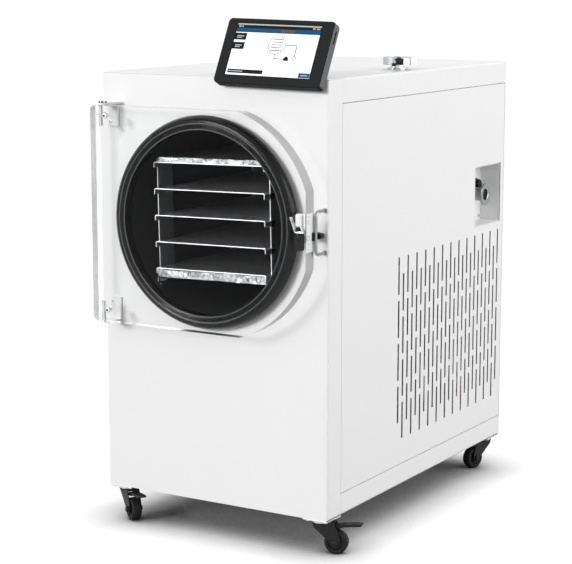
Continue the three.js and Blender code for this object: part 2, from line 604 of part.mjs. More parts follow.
// Profile of a flanged tube end: the flange's face is at 0 and the tube runs to -length.
function flangedTube(length) {
  const { tubeRadius, boreRadius, flangeRadius, flange, taper } = vacuumPort;
  return [[boreRadius, -length], [tubeRadius, -length], [tubeRadius, -flange - taper],
    [flangeRadius, -flange], [flangeRadius, 0], [boreRadius + 2, 0], [boreRadius, -1.5],
    [boreRadius, -length]];
}

function addSidePort() {
  const wallX = side - pocket.depth;
  const face = side - vacuumPort.sunk;
  const y = (pocketY[0] + pocketY[1] - pocket.rearGap) / 2 + 2;
  const z = (pocketZ[0] + pocketZ[1]) / 2;
  const length = face - wallX + vacuumPort.tail;
  const tube = turnedX(flangedTube(length), vacuumPort.segments, [face, y, z]);
  const hexFrom = wallX + pocket.sheet + gap;
  const hex = turnedX(ring(vacuumPort.boreRadius + 0.5, vacuumPort.hexRadius, hexFrom,
    hexFrom + vacuumPort.hex), 6, [0, y, z]);
  addPart('side_vacuum_port', tube.add(hex), finish.chrome);

  const seat = wallX + pocket.sheet + gap;
  const cableGland = turnedX([[0, seat], [gland.radius, seat], [gland.radius, seat + gland.height],
    [gland.domeRadius, seat + gland.height + 1], [gland.domeRadius, seat + gland.domeHeight - 3],
    [gland.domeRadius - 3, seat + gland.domeHeight], [0, seat + gland.domeHeight]], 16,
  [0, y + gland.rearward, z + gland.rise]);
  addPart('pocket_gland', cableGland, finish.blackPlastic);
}

function addTopPort() {
  const at = [side - topPort.fromRight, topPort.fromFront, top];
  const { collar, neck, blank, boltRadius, lug, lugHalf } = topPort;
  const { flange, taper, segments, boreRadius } = vacuumPort;
  const portRadius = vacuumPort.flangeRadius;
  const clampRadius = portRadius + topPort.clampWall;
  const clampLip = portRadius - topPort.clampBite;
  const face = gap + collar + neck + flange;
  const tube = turnedZ(flangedTube(face + vacuumPort.tail), segments, [at[0], at[1], at[2] + face]);
  const seatRing = turnedZ(ring(boreRadius + 0.5, portRadius - topPort.collarInset, gap, gap + collar),
    segments, at);
  addPart('top_port_stub', tube.add(seatRing), finish.chrome);

  const capFrom = face + gap;
  const cap = [[0, capFrom], [portRadius, capFrom], [portRadius, capFrom + blank],
    [clampLip - 2, capFrom + blank + taper / 2], [0, capFrom + blank + taper / 2]];
  addPart('top_port_blank', turnedZ(cap, segments, at), finish.chrome);

  const low = face - flange - taper / 2;
  const high = capFrom + blank + taper / 2;
  const bite = portRadius + 2 * gap;
  const clampRing = turnedZ([[clampLip, low - 1.5], [clampRadius, low - 1.5], [clampRadius, high + 1.5],
    [clampLip, high + 1.5], [clampLip, high + gap], [bite, high + gap], [bite, low - gap],
    [clampLip, low - gap], [clampLip, low - 1.5]], segments, [0, 0, 0]);
  const lugX = [clampRadius - 2, clampRadius + lug];
  const ears = block(lugX, [-lugHalf, lugHalf], [low - 1, high + 1])
    .add(block([-clampRadius - 6, -clampRadius + 2], [-5, 5], [low - 1, high + 1]));
  const split = block([clampLip - 1, clampRadius + lug + 1], [-1, 1], [low - 2, high + 2]);
  const boltAt = [clampRadius + lug / 2, 0, (low + high) / 2];
  const nutEnd = -lugHalf - gap - topPort.nutLength;
  const bolt = turnedY(rod(boltRadius, nutEnd - 3, lugHalf - 1), 12, boltAt);
  const place = (shape) => shape.rotate([0, 0, topPort.turn]).translate(at);
  addPart('top_port_clamp', place(clampRing.add(ears).subtract(split).add(bolt)), finish.aluminium);

  const { nutRadius, wingReach } = topPort;
  const wingY = [nutEnd, nutEnd + 3];
  const thread = turnedY(rod(boltRadius + gap, nutEnd - 1, -lugHalf), 12, [0, 0, 0]);
  const hub = turnedY(rod(nutRadius, nutEnd, -lugHalf - gap), 12, [0, 0, 0]);
  const wing = sweptBack(polygon([[0, -2.5], [wingReach - 1, -1.5], [wingReach, 2],
    [wingReach - 5, 4.5], [0, 2.5]]), nutEnd, nutEnd + 3);
  const nut = hub.add(wing).add(wing.rotate([0, 180, 0])).subtract(thread);
  addPart('top_port_wing_nut', place(nut.rotate([0, -topPort.wingTilt, 0]).translate(boltAt)),
    finish.blackPlastic);
}

// ---------------------------------------------------------------- refrigeration and mains

function addCompressor() {
  const { radius, height, x, footSize, foot, rim } = compressor;
  const y = condenserY - compressor.toCondenser - footSize / 2;
  const pot = turnedZ([[0, foot - 1], [radius - 14, foot - 1], [radius, foot + 14],
    [radius, 0.46 * height], [radius + 3, 0.46 * height], [radius + 3, 0.46 * height + rim],
    [radius, 0.46 * height + rim], [radius, height - 26], [radius - 20, height - 6], [0, height]],
  32, [x, y, deck]);
  const plate = block([x - footSize / 2, x + footSize / 2], [y - footSize / 2, y + footSize / 2],
    [deck, deck + foot]);
  addPart('compressor', pot.add(plate), finish.blackCoat);
}

function addCondenser() {
  const { width, height, thickness, x, tank } = condenser;
  const y = condenserY;
  const core = block([x - width / 2 + tank, x + width / 2 - tank], [y + 4, y + thickness - 4],
    [deck + 4, deck + height - 4]);
  const ends = [[x - width / 2, x - width / 2 + tank + 1], [x + width / 2 - tank - 1, x + width / 2]];
  let shape = core;
  for (const end of ends) shape = shape.add(block(end, [y, y + thickness], [deck, deck + height]));
  addPart('condenser', shape, finish.aluminium);
}

// The shroud is a plate with a ring round the fan, and three arms that hold the motor and its shaft.
function addFan() {
  const plateY = condenserY + condenser.thickness + gap;
  const ringY = plateY + fan.ringDepth;
  const inner = fanRing;
  const half = condenser.width / 2;
  const opening = turnedY(rod(inner, plateY - 1, ringY + 1), 32, [fanX, 0, fanZ]);
  const plate = block([fanX - half, fanX + half], [plateY, plateY + fan.sheet],
    [deck, deck + shroudHeight]);
  const collar = turnedY(rod(inner + fan.sheet, plateY, ringY), 32, [fanX, 0, fanZ]);
  let shroud = plate.add(collar).subtract(opening);
  const armY = [ringY - 5, ringY];
  for (let i = 0; i < fan.arms; i += 1) {
    const arm = block([0, inner + fan.sheet / 2], armY, [-fan.armWidth / 2, fan.armWidth / 2])
      .rotate([0, (360 * i) / fan.arms + 90, 0]).translate([fanX, 0, fanZ]);
    shroud = shroud.add(arm);
  }
  const motor = turnedY([[0, armY[0] - fan.hubLength - 2], [fan.shaftRadius, armY[0] - fan.hubLength - 2],
    [fan.shaftRadius, armY[0]], [fan.motorRadius, armY[0]], [fan.motorRadius, armY[0] + fan.motorLength],
    [0, armY[0] + fan.motorLength]], 24, [fanX, 0, fanZ]);
  addPart('fan_shroud', shroud.add(motor), finish.blackCoat);

  const hubY = [armY[0] - fan.hubLength - gap, armY[0] - 2 * gap];
  let blades = turnedY(ring(fan.shaftRadius + gap, fan.hubRadius, ...hubY), 24, [0, 0, 0]);
  const middle = (hubY[0] + hubY[1]) / 2;
  const [chord, sheet] = [fan.bladeChord / 2, fan.bladeThickness / 2];
  const blade = block([fan.hubRadius - 3, fan.radius], [-sheet, sheet], [-chord, chord])
    .rotate([fan.pitch, 0, 0]);
  for (let i = 0; i < fan.blades; i += 1) {
    blades = blades.add(blade.rotate([0, (360 * i) / fan.blades, 0]).translate([0, middle, 0]));
  }
  addPart('fan_rotor', blades.translate([fanX, 0, fanZ]), finish.blackPlastic);
}

function addControlBox() {
  const x = [-side + controlBox.fromLeft, -side + controlBox.fromLeft + controlBox.width];
  const y = [controlBox.fromFront, controlBox.fromFront + controlBox.depth];
  addPart('control_box', block(x, y, [deck, deck + controlBox.height]), finish.innerPaint);
}

// Mains inlet with a recessed plug socket below and a seat for the rocker switch above.
function addInlet() {
  const outer = back + gap;
  const proud = [outer, outer + inlet.proud];
  const lowZ = inletZ - inlet.height / 2;
  const flange = block([inletX - inlet.width / 2 - inlet.flange, inletX + inlet.width / 2 + inlet.flange],
    proud, [lowZ - inlet.flange, lowZ + inlet.height + inlet.flange]);
  const body = block([inletX - inlet.width / 2, inletX + inlet.width / 2],
    [back - inlet.depth, proud[1]], [lowZ, lowZ + inlet.height]);
  const socketZ = [lowZ + 5, lowZ + 5 + inlet.socketHeight];
  const socket = block([inletX - inlet.socketWidth / 2, inletX + inlet.socketWidth / 2],
    [proud[1] - inlet.socketDepth, proud[1] + 1], socketZ);
  const rockerZ = lowZ + inlet.height - 5 - inlet.rockerHeight / 2;
  const seatHalf = [inlet.rockerWidth / 2 + gap, inlet.rockerHeight / 2 + gap + 1.2];
  const seat = block([inletX - seatHalf[0], inletX + seatHalf[0]], [proud[1] - 9, proud[1] + 1],
    [rockerZ - seatHalf[1], rockerZ + seatHalf[1]]);
  let shape = flange.add(body).subtract(socket).subtract(seat);
  const pins = [[-7, 2], [0, -2], [7, 2]];
  for (const [dx, dz] of pins) {
    const z = (socketZ[0] + socketZ[1]) / 2 + dz;
    shape = shape.add(block([inletX + dx - 1, inletX + dx + 1],
      [proud[1] - inlet.socketDepth - 1, proud[1] - inlet.socketDepth + inlet.pinLength],
      [z - 2.5, z + 2.5]));
  }
  addPart('mains_inlet', shape, finish.blackPlastic);

  const half = inlet.rockerHeight / 2 - 0.5;
  const rocker = polygon([[proud[1] - 5, rockerZ - half + 1], [proud[1] + 0.4, rockerZ - half],
    [proud[1] + 1.2, rockerZ], [proud[1] + inlet.rockerProud, rockerZ + half],
    [proud[1] - 5, rockerZ + half - 1], [proud[1] - 8.4, rockerZ + 2], [proud[1] - 8.4, rockerZ - 2]]);
  addPart('rocker_switch', sweptRight(rocker, inletX - inlet.rockerWidth / 2,
    inletX + inlet.rockerWidth / 2), finish.blackPlastic);
}

// ---------------------------------------------------------------- casters

// Heading is the direction in which the wheel trails behind the swivel axis, in degrees from +X.
const casters = [
  { name: 'front_left', x: -1, front: true, heading: -34 },
  { name: 'front_right', x: 1, front: true, heading: 16 },
  { name: 'rear_left', x: -1, front: false, heading: -70 },
  { name: 'rear_right', x: 1, front: false, heading: -109 },
];

// Each caster is drawn trailing along +X, turned to its heading and set under its corner.
function addCaster({ name, x, front, heading }) {
  const place = [x * (side - caster.inset), front ? caster.inset : back - caster.inset, 0];
  const put = (shape) => shape.rotate([0, 0, heading]).translate(place);
  const plateTop = bottom - gap;
  const raceTop = plateTop - caster.plateThickness;
  const raceLow = raceTop - caster.racewayHeight;
  const half = caster.plate / 2;
  const plate = block([-half, half], [-half, half], [raceTop, plateTop]);
  const race = turnedZ(rod(caster.racewayRadius, raceLow, raceTop + 1), 24, [0, 0, 0]);
  addPart(`caster_${name}_plate`, plate.add(race).translate(place), finish.zinc);

  const webTop = raceLow - gap;
  const webLow = webTop - caster.web;
  const hubZ = caster.wheelRadius;
  const innerHalf = caster.wheelWidth / 2 + 1;
  const r = caster.axleRadius + 4;
  const cheekOutline = new THREE.Shape();
  cheekOutline.moveTo(-13, webTop);
  cheekOutline.lineTo(-11, webLow - 5);
  cheekOutline.lineTo(caster.trail - r, hubZ);
  cheekOutline.absarc(caster.trail, hubZ, r, Math.PI, 2 * Math.PI);
  cheekOutline.lineTo(caster.trail + r, hubZ + 8);
  cheekOutline.lineTo(22, webTop);
  const cheek = sweptBack(cheekOutline, innerHalf, innerHalf + caster.cheek, 8);
  const otherCheek = sweptBack(cheekOutline, -innerHalf - caster.cheek, -innerHalf, 8);
  const web = block([-13, 21], [-innerHalf - 1, innerHalf + 1], [webLow, webTop]);
  const axle = turnedY(rod(caster.axleRadius, -innerHalf - caster.cheek - 3, innerHalf + caster.cheek + 3),
    16, [caster.trail, 0, hubZ]);
  addPart(`caster_${name}_fork`, put(web.add(cheek).add(otherCheek).add(axle)), finish.blackCoat);

  const wheelSides = 28;
  const rim = caster.wheelRadius / Math.cos(Math.PI / wheelSides);
  const w = caster.wheelWidth / 2;
  const bore = caster.axleRadius + gap;
  const wheelProfile = [[bore, -w], [rim - 4, -w], [rim - 0.8, -w + 0.8], [rim, -w + 3],
    [rim, w - 3], [rim - 0.8, w - 0.8], [rim - 4, w], [bore, w], [bore, -w]];
  const wheel = solid(lathe(wheelProfile, wheelSides).rotateY(Math.PI / wheelSides)
    .translate(caster.trail, 0, hubZ));
  addPart(`caster_${name}_wheel`, put(wheel), finish.tyre);

  if (front) {
    const { x: px, boss } = brake;
    const pz = 2 * caster.wheelRadius + brake.rise;
    const width = innerHalf - gap;
    const arm = sweptBack(polygon([[px, pz - boss], [px + 8, pz - boss], [px + 19, pz + 1],
      [px + brake.length - 3.5, pz + 3.4], [px + brake.length, pz + 6.6],
      [px + brake.length - 8, pz + 7], [px + 16, pz + 4.8], [px + 6, pz + boss], [px, pz + boss]]),
    -brake.width / 2, brake.width / 2)
      .add(turnedY(rod(boss, -width, width), 16, [px, 0, pz]));
    addPart(`caster_${name}_brake`, put(arm), finish.blackPlastic);
  }
}

// ---------------------------------------------------------------- assembly

addFrontPanel();
addTopPanel();
addBasePan();
addSidePanels();
addRearPanel();
addPocket();
addChamber();
addGasket();
addRack();
addDoor();
addHinges();
addLatch();
addStrike();
addDisplay();
addSidePort();
addTopPort();
addCompressor();
addCondenser();
addFan();
addControlBox();
addInlet();
casters.forEach(addCaster);

model.updateMatrixWorld(true);
const bounds = new THREE.Box3().setFromObject(model, true);
const middle = bounds.getCenter(new THREE.Vector3());
model.position.set(-middle.x, -middle.y, -bounds.min.z);

export default model;
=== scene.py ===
import json
import math
import bpy
import bmesh
from mathutils import Matrix, Vector, noise

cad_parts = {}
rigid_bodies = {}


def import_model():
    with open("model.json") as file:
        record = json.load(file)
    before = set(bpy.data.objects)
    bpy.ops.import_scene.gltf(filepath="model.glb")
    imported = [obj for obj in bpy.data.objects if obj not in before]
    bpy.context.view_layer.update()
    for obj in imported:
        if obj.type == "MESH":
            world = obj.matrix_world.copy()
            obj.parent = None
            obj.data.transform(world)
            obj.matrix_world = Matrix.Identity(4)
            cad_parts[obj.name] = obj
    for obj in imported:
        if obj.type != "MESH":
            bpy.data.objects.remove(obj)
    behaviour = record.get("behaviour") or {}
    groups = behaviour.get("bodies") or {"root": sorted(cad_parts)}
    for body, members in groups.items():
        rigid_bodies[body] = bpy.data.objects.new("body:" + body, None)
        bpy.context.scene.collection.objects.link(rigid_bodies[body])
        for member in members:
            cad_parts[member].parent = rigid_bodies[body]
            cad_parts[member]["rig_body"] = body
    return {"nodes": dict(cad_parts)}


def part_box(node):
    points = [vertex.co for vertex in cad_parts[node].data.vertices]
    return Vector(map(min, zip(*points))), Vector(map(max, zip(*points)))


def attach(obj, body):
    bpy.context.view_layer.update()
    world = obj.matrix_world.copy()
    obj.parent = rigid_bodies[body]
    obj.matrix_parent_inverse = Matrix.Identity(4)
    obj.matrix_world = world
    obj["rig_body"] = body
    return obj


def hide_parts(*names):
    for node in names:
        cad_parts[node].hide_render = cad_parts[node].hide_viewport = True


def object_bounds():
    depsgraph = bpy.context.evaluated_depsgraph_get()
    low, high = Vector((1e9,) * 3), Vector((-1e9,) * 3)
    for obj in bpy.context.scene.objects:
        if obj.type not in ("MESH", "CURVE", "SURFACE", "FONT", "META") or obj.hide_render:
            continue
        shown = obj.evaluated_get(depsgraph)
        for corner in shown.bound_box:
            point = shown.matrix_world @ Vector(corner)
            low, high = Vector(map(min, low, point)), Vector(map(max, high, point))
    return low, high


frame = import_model()
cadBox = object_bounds()
nodes = frame["nodes"]
scene = bpy.context.scene
print("frame loaded:", len(nodes), "nodes")

# Pieces are laid out in millimetres: x right of the middle of the front, y back from the front
# sheet, z above the floor.
frontLow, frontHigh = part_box("front_panel")
toFrame = (Matrix.Translation(((frontLow.x + frontHigh.x) / 2, frontLow.y, cadBox[0][2]))
           @ Matrix.Scale(0.001, 4))
toLayout = toFrame.inverted()


def spot(x, y, z):
    return Matrix.Translation((x, y, z))


def turn(degrees, axis):
    return Matrix.Rotation(math.radians(degrees), 4, axis)


# A shape drawn up z then points this way.
backward, forward = turn(-90, "X"), turn(90, "X")
rightward, leftward = turn(90, "Y"), turn(-90, "Y")


def nodeBox(name):
    low, high = (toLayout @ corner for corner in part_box(name))
    return low, high, (low + high) / 2


# Camera and light, in metres and degrees.
viewPoint = {"place": (1.5271, -2.6429, 0.9034), "turn": (80.219, 0.0, 31.037), "lens": 113.6, "sensor": 36.0}
studio = {
    "keyAzimuth": 25.6, "keyHeight": 17.0,    # left of the front, and above level
    "keyStrength": 1.74, "keyAngle": 15.0, "worldStrength": 0.5,
    "softboxes": {                            # place, direction, width, height, strength
        "side": ((3.2, 0.4, 1.5), (-1, -0.1, -0.3), 3.0, 2.6, 78.0),
        "front": ((-0.9, -3.4, 1.9), (0.25, 1, -0.4), 2.6, 2.0, 27.0),
        "top": ((0.2, 0.3, 3.2), (0, 0, -1), 2.6, 2.6, 9.0),
    },
    "floorSize": 8.0, "floorColor": "#727272", "floorGlow": 0.94,
    "floorShade": 0.097, "floorLeast": 0.37, "floorFade": 0.95,    # reach, darkest share, softness
}
white = (1, 1, 1, 1)


def colour(code, alpha=1.0):
    parts = [int(code[i:i + 2], 16) / 255 for i in (1, 3, 5)]
    return (*[((p + 0.055) / 1.055) ** 2.4 if p > 0.04045 else p / 12.92 for p in parts], alpha)


def fill(tree, made, values):
    for socket, value in values.items():
        if isinstance(value, bpy.types.NodeSocket):
            tree.links.new(value, made.inputs[socket])
        else:
            made.inputs[socket].default_value = value
    return made


def node(tree, kind, values=None, **settings):
    made = tree.nodes.new("ShaderNode" + kind)
    for key, value in settings.items():
        setattr(made, key, value)
    return fill(tree, made, values or {})


def reckon(tree, operation, *values, **settings):
    return node(tree, "Math", dict(enumerate(values)), operation=operation, **settings).outputs[0]


def remap(tree, value, *limits):
    ends = dict(zip(("From Min", "From Max", "To Min", "To Max"), limits))
    return node(tree, "MapRange", {"Value": value, **ends}).outputs[0]


def mixed(tree, share, first, second):
    return node(tree, "MixShader", {0: share, 1: first, 2: second}).outputs[0]


def addObject(name, data, place=(0, 0, 0), angles=(0, 0, 0)):
    made = bpy.data.objects.new(name, data)
    made.location, made.rotation_euler = place, angles
    scene.collection.objects.link(made)
    return made


def makeCamera():
    data = bpy.data.cameras.new("viewCamera")
    data.lens, data.sensor_width = viewPoint["lens"], viewPoint["sensor"]
    angles = [math.radians(angle) for angle in viewPoint["turn"]]
    scene.camera = addObject("viewCamera", data, viewPoint["place"], angles)


def seenDirectly(tree):
    # 1 for the camera, and for mirrors and glass, which show the same background; the light that
    # reaches a painted surface through the glass keeps the plain level
    path = node(tree, "LightPath").outputs
    first = reckon(tree, "ADD", path["Is Camera Ray"], path["Is Glossy Ray"], use_clamp=True)
    second = reckon(tree, "ADD", first, path["Is Transmission Ray"], use_clamp=True)
    return reckon(tree, "MULTIPLY", second, reckon(tree, "LESS_THAN", path["Diffuse Depth"], 0.5))


def addLamp(name, kind, place, towards, **settings):
    data = bpy.data.lights.new(name, kind)
    for key, value in settings.items():
        setattr(data, key, value)
    addObject(name, data, place, Vector(towards).to_track_quat("-Z", "Y").to_euler())


def makeStudio():
    azimuth, height = math.radians(studio["keyAzimuth"]), math.radians(studio["keyHeight"])
    level = math.cos(height)
    aim = (math.sin(azimuth) * level, math.cos(azimuth) * level, -math.sin(height))
    addLamp("keySun", "SUN", (0, 0, 0), aim, energy=studio["keyStrength"],
            angle=math.radians(studio["keyAngle"]))
    for name, (place, towards, wide, tall, strength) in studio["softboxes"].items():
        addLamp(name + "Softbox", "AREA", place, towards, shape="RECTANGLE", size=wide, size_y=tall,
                energy=strength)
    world = bpy.data.worlds.new("studioWorld")
    world.use_nodes = True
    scene.world = world
    tree = world.node_tree
    tree.nodes.clear()
    soft, seen = (node(tree, "Background", {"Color": white, "Strength": strength}).outputs[0]
                  for strength in (studio["worldStrength"], 1.0))
    node(tree, "OutputWorld", {"Surface": mixed(tree, seenDirectly(tree), soft, seen)})


def makeFloor():
    data = bpy.data.meshes.new("studioFloor")
    mesh = bmesh.new()
    bmesh.ops.create_grid(mesh, x_segments=1, y_segments=1, size=studio["floorSize"] / 2)
    mesh.to_mesh(data)
    mesh.free()
    floor = addObject("studioFloor", data)
    material = bpy.data.materials.new("paleFloor")
    material.use_nodes = True
    tree = material.node_tree
    tree.nodes.clear()
    matt = node(tree, "BsdfDiffuse", {"Color": colour(studio["floorColor"])}).outputs[0]
    unshaded = node(tree, "AmbientOcclusion", {"Distance": studio["floorShade"]}, samples=8).outputs["AO"]
    # under the cabinet some of the sky always shows past its edge: that share counts as dark
    faded = reckon(tree, "POWER", remap(tree, unshaded, studio["floorLeast"]), studio["floorFade"])
    level = reckon(tree, "MULTIPLY", faded, studio["floorGlow"])
    glow = node(tree, "Emission", {"Color": white, "Strength": level})
    none = node(tree, "Emission", {"Strength": 0.0})
    chosen = mixed(tree, seenDirectly(tree), none.outputs[0], glow.outputs[0])
    both = node(tree, "AddShader", {0: matt, 1: chosen})
    node(tree, "OutputMaterial", {"Surface": both.outputs[0]})
    data.materials.append(material)


makeCamera()
makeStudio()
makeFloor()
scene.view_settings.view_transform = "Standard"
print("camera and studio made")


# Effects that several finishes share.
def newGroup(name, inputs, outputs):
    tree = bpy.data.node_groups.new(name, "ShaderNodeTree")
    for socket, value in inputs.items():
        kind = "Float" if isinstance(value, float) else "Color" if len(value) == 4 else "Vector"
        made = tree.interface.new_socket(name=socket, in_out="INPUT", socket_type="NodeSocket" + kind)
        made.default_value = value
    for socket in outputs:
        kind = "Color" if socket == "Color" else "Float"
        tree.interface.new_socket(name=socket, in_out="OUTPUT", socket_type="NodeSocket" + kind)
    return tree, tree.nodes.new("NodeGroupInput").outputs, tree.nodes.new("NodeGroupOutput")


def objectNoise(tree, scale, detail=2.0, roughness=0.5):
    place = node(tree, "TexCoord").outputs["Object"]
    return node(tree, "TexNoise", {"Vector": place, "Scale": scale, "Detail": detail,
                                   "Roughness": roughness}).outputs["Fac"]


def maskOf(tree, given, first, second):
    return reckon(tree, "MULTIPLY", reckon(tree, "MULTIPLY", first, second), given["Amount"])


def makeFineGrain():
    # small round bumps: powder coat, moulded plastic, cast metal
    tree, given, wanted = newGroup("fineGrain", {"Scale": 900.0, "Softness": 0.4}, ["Height"])
    fill(tree, wanted, {"Height": objectNoise(tree, given["Scale"], 3.0, given["Softness"])})
    return tree


def makeSurfaceTone():
    # slow drift of a colour, and of the gloss with it
    tree, given, wanted = newGroup("surfaceTone", {"Color": white, "Amount": 0.03, "Scale": 9.0,
                                                   "Roughness": 0.4, "Spread": 0.05}, ["Color", "Roughness"])
    centred = reckon(tree, "SUBTRACT", objectNoise(tree, given["Scale"], 4.0, 0.6), 0.5)
    scaled = reckon(tree, "MULTIPLY_ADD", centred, given["Amount"], 1.0)
    toned = node(tree, "HueSaturation", {"Color": given["Color"], "Value": scaled}).outputs[0]
    rubbed = objectNoise(tree, 37.0, 3.0, 0.6)
    gloss = reckon(tree, "MULTIPLY_ADD", rubbed, given["Spread"], given["Roughness"])
    fill(tree, wanted, {"Color": toned, "Roughness": gloss})
    return tree


def makeEdgeWearAndHighlight():
    # 1 along outer edges, broken up by noise; the colour laid there is edge wear and a painted highlight
    tree, given, wanted = newGroup("edgeWearAndHighlight", {"Width": 0.0008, "Amount": 0.5}, ["Mask"])
    rounded = node(tree, "Bevel", {"Radius": given["Width"]}, samples=4).outputs["Normal"]
    flat = node(tree, "NewGeometry").outputs["Normal"]
    same = node(tree, "VectorMath", {0: rounded, 1: flat}, operation="DOT_PRODUCT").outputs["Value"]
    broken = remap(tree, objectNoise(tree, 140.0, 3.0), 0.35, 0.65)
    fill(tree, wanted, {"Mask": maskOf(tree, given, remap(tree, same, 0.995, 0.88), broken)})
    return tree


def makeSettledDust():
    # faint dust on what faces up
    tree, given, wanted = newGroup("settledDust", {"Amount": 0.2, "Scale": 60.0}, ["Mask"])
    upward = node(tree, "SeparateXYZ", {0: node(tree, "NewGeometry").outputs["Normal"]}).outputs["Z"]
    patchy = remap(tree, objectNoise(tree, given["Scale"], 5.0, 0.65), 0.35, 0.75)
    fill(tree, wanted, {"Mask": maskOf(tree, given, remap(tree, upward, 0.35, 1.0), patchy)})
    return tree


def makeBrushedGrain():
    # fine lines along one direction: Stretch holds the scale on each axis
    tree, given, wanted = newGroup("brushedGrain", {"Stretch": (2000.0, 60.0, 2000.0)}, ["Height"])
    place = node(tree, "TexCoord").outputs["Object"]
    drawn = node(tree, "VectorMath", {0: place, 1: given["Stretch"]}, operation="MULTIPLY").outputs["Vector"]
    lines = node(tree, "TexNoise", {"Vector": drawn, "Scale": 1.0, "Detail": 2.0}).outputs["Fac"]
    fill(tree, wanted, {"Height": lines})
    return tree


def makeFoldedFoil():
    # crumpled foil: cells that meet in creases, bent and broken up by noise; Mask lays a painted shade along
    # the creases and Height is their bump
    tree, given, wanted = newGroup("foldedFoil", {"Scale": 150.0, "Amount": 0.8}, ["Mask", "Height"])
    place = node(tree, "TexCoord").outputs["Object"]
    drift = node(tree, "TexNoise", {"Vector": place, "Scale": 55.0, "Detail": 2.0}).outputs["Color"]
    bent = node(tree, "VectorMath", {0: drift, 1: (0.018, 0.018, 0.018), 2: place},
                operation="MULTIPLY_ADD").outputs[0]
    between, cells = (node(tree, "TexVoronoi", {"Vector": bent, "Scale": given["Scale"]},
                           feature=feature).outputs["Distance"] for feature in ("DISTANCE_TO_EDGE", "F1"))
    patchy = remap(tree, objectNoise(tree, 120.0, 3.0), 0.38, 0.58)
    creaseShade = remap(tree, between, 0.02, 0.2, 1.0, 0.0)
    fill(tree, wanted, {"Mask": maskOf(tree, given, creaseShade, patchy), "Height": cells})
    return tree


fineGrain, surfaceTone, edgeWearAndHighlight = makeFineGrain(), makeSurfaceTone(), makeEdgeWearAndHighlight()
settledDust, brushedGrain, foldedFoil = makeSettledDust(), makeBrushedGrain(), makeFoldedFoil()


def placed(tree, group, values):
    made = tree.nodes.new("ShaderNodeGroup")
    made.node_tree = group
    return fill(tree, made, values).outputs


def bumped(tree, relief, height, strength):
    return node(tree, "Bump", {"Height": relief, "Distance": height, "Strength": strength}).outputs[0]


# slot, colour, how far it drifts, roughness, its spread, and the rest. grain: scale per metre, height
# in metres; brushed: scale on x, y and z, height; wear: colour of the edge wear and painted
# edge highlight, width in metres, amount; dust: amount; creasesAndShade: scale, amount, colour of the painted
# shade in the creases, height.
finishes = {
    "whitePaint": ("white_paint", "#EDEDED", 0.035, 0.36, 0.08,
        dict(grain=(1150, 0.00003), wear=("#F7F7F7", 0.0007, 0.5), dust=0.05, coat=0.15)),
    "innerGreyPaint": ("grey_paint", "#D7D9DB", 0.05, 0.42, 0.1,
        dict(grain=(900, 0.00003), wear=("#F0F0F0", 0.0007, 0.4), dust=0.15)),
    "gasketRubber": ("black_rubber", "#030304", 0.25, 0.1, 0.07, dict(grain=(1500, 0.000004), shine=0.2)),
    # light grey rubber for the thin ridge beads: a painted highlight
    "ridgePaintedHighlight": ("black_rubber", "#77787A", 0.1, 0.3, 0.05, dict(grain=(1500, 0.000004))),
    "chamberCoat": ("black_coat", "#141415", 0.3, 0.36, 0.06, dict(grain=(500, 0.00001), shine=0.6)),
    "machineBlack": ("black_coat", "#101011", 0.25, 0.42, 0.15,
        dict(grain=(1100, 0.00005), wear=("#4A4A4A", 0.0006, 0.3), dust=0.06, shine=0.25)),
    "housingPlastic": ("black_plastic", "#191A1B", 0.12, 0.5, 0.1,
        dict(grain=(2600, 0.00003), wear=("#606264", 0.0005, 0.25), dust=0.03, shine=0.1)),
    # lighter grey for the display housing's sides: a painted reflection
    "housingSide": ("black_plastic", "#626467", 0.12, 0.5, 0.1, dict(grain=(2600, 0.00004), shine=0.2)),
    "gripPlastic": ("black_plastic", "#0F0F10", 0.2, 0.42, 0.12,
        dict(grain=(1800, 0.00003), wear=("#444444", 0.0006, 0.3), shine=0.2)),
    "blockPlastic": ("white_paint", "#EDEDED", 0.04, 0.35, 0.08,
        dict(grain=(1500, 0.00002), wear=("#FAFAFA", 0.0006, 0.4))),
    "shelfSteel": ("shelf_steel", "#D2D3D5", 0.08, 0.24, 0.12,
        dict(metallic=1.0, brushed=(160, 3200, 3200, 0.00001))),
    # the foil's dark crease colour is a painted shade
    "foilSkin": ("foil", "#B4B6B9", 0.5, 0.22, 0.2,
        dict(toneScale=60.0, metallic=1.0, creasesAndShade=(150, 0.9, "#26272A", 0.0006))),
    "paleFoam": ("pale_foam", "#DAD8D2", 0.1, 0.88, 0.08, dict(grain=(420, 0.0006), dust=0.1)),
    "polishedSteel": ("polished_steel", "#D9DBDD", 0.05, 0.12, 0.1, dict(metallic=1.0, grain=(90, 0.00002))),
    "bentRod": ("polished_steel", "#8F9193", 0.06, 0.16, 0.12, dict(metallic=1.0, grain=(110, 0.00002))),
    "castMetal": ("cast_aluminium", "#BEC1C4", 0.1, 0.36, 0.12, dict(metallic=1.0, grain=(850, 0.00012))),
    "finMetal": ("cast_aluminium", "#C6C8CA", 0.1, 0.32, 0.1,
        dict(metallic=1.0, brushed=(2500, 2500, 90, 0.00002), dust=0.2)),
    "zincPlate": ("zinc_steel", "#CBCDCF", 0.12, 0.33, 0.16,
        dict(metallic=0.85, grain=(150, 0.00005), dust=0.1)),
    "tyreRubber": ("black_tyre", "#111112", 0.25, 0.6, 0.15,
        dict(grain=(1300, 0.00008), wear=("#3C3C3B", 0.001, 0.4), dust=0.05, shine=0.25)),
    "copperPipe": ("zinc_steel", "#C67D58", 0.15, 0.25, 0.2, dict(metallic=1.0, grain=(120, 0.00003))),
}
dustColor, reliefStrength, coatRoughness = "#B9B6B0", 0.6, 0.25
materials = {}
slotOf = {}


def newMaterial(name, slot):
    material = bpy.data.materials.new(name)
    material.use_nodes = True
    materials[name], slotOf[name] = material, slot
    return material.node_tree, material.node_tree.nodes["Principled BSDF"]


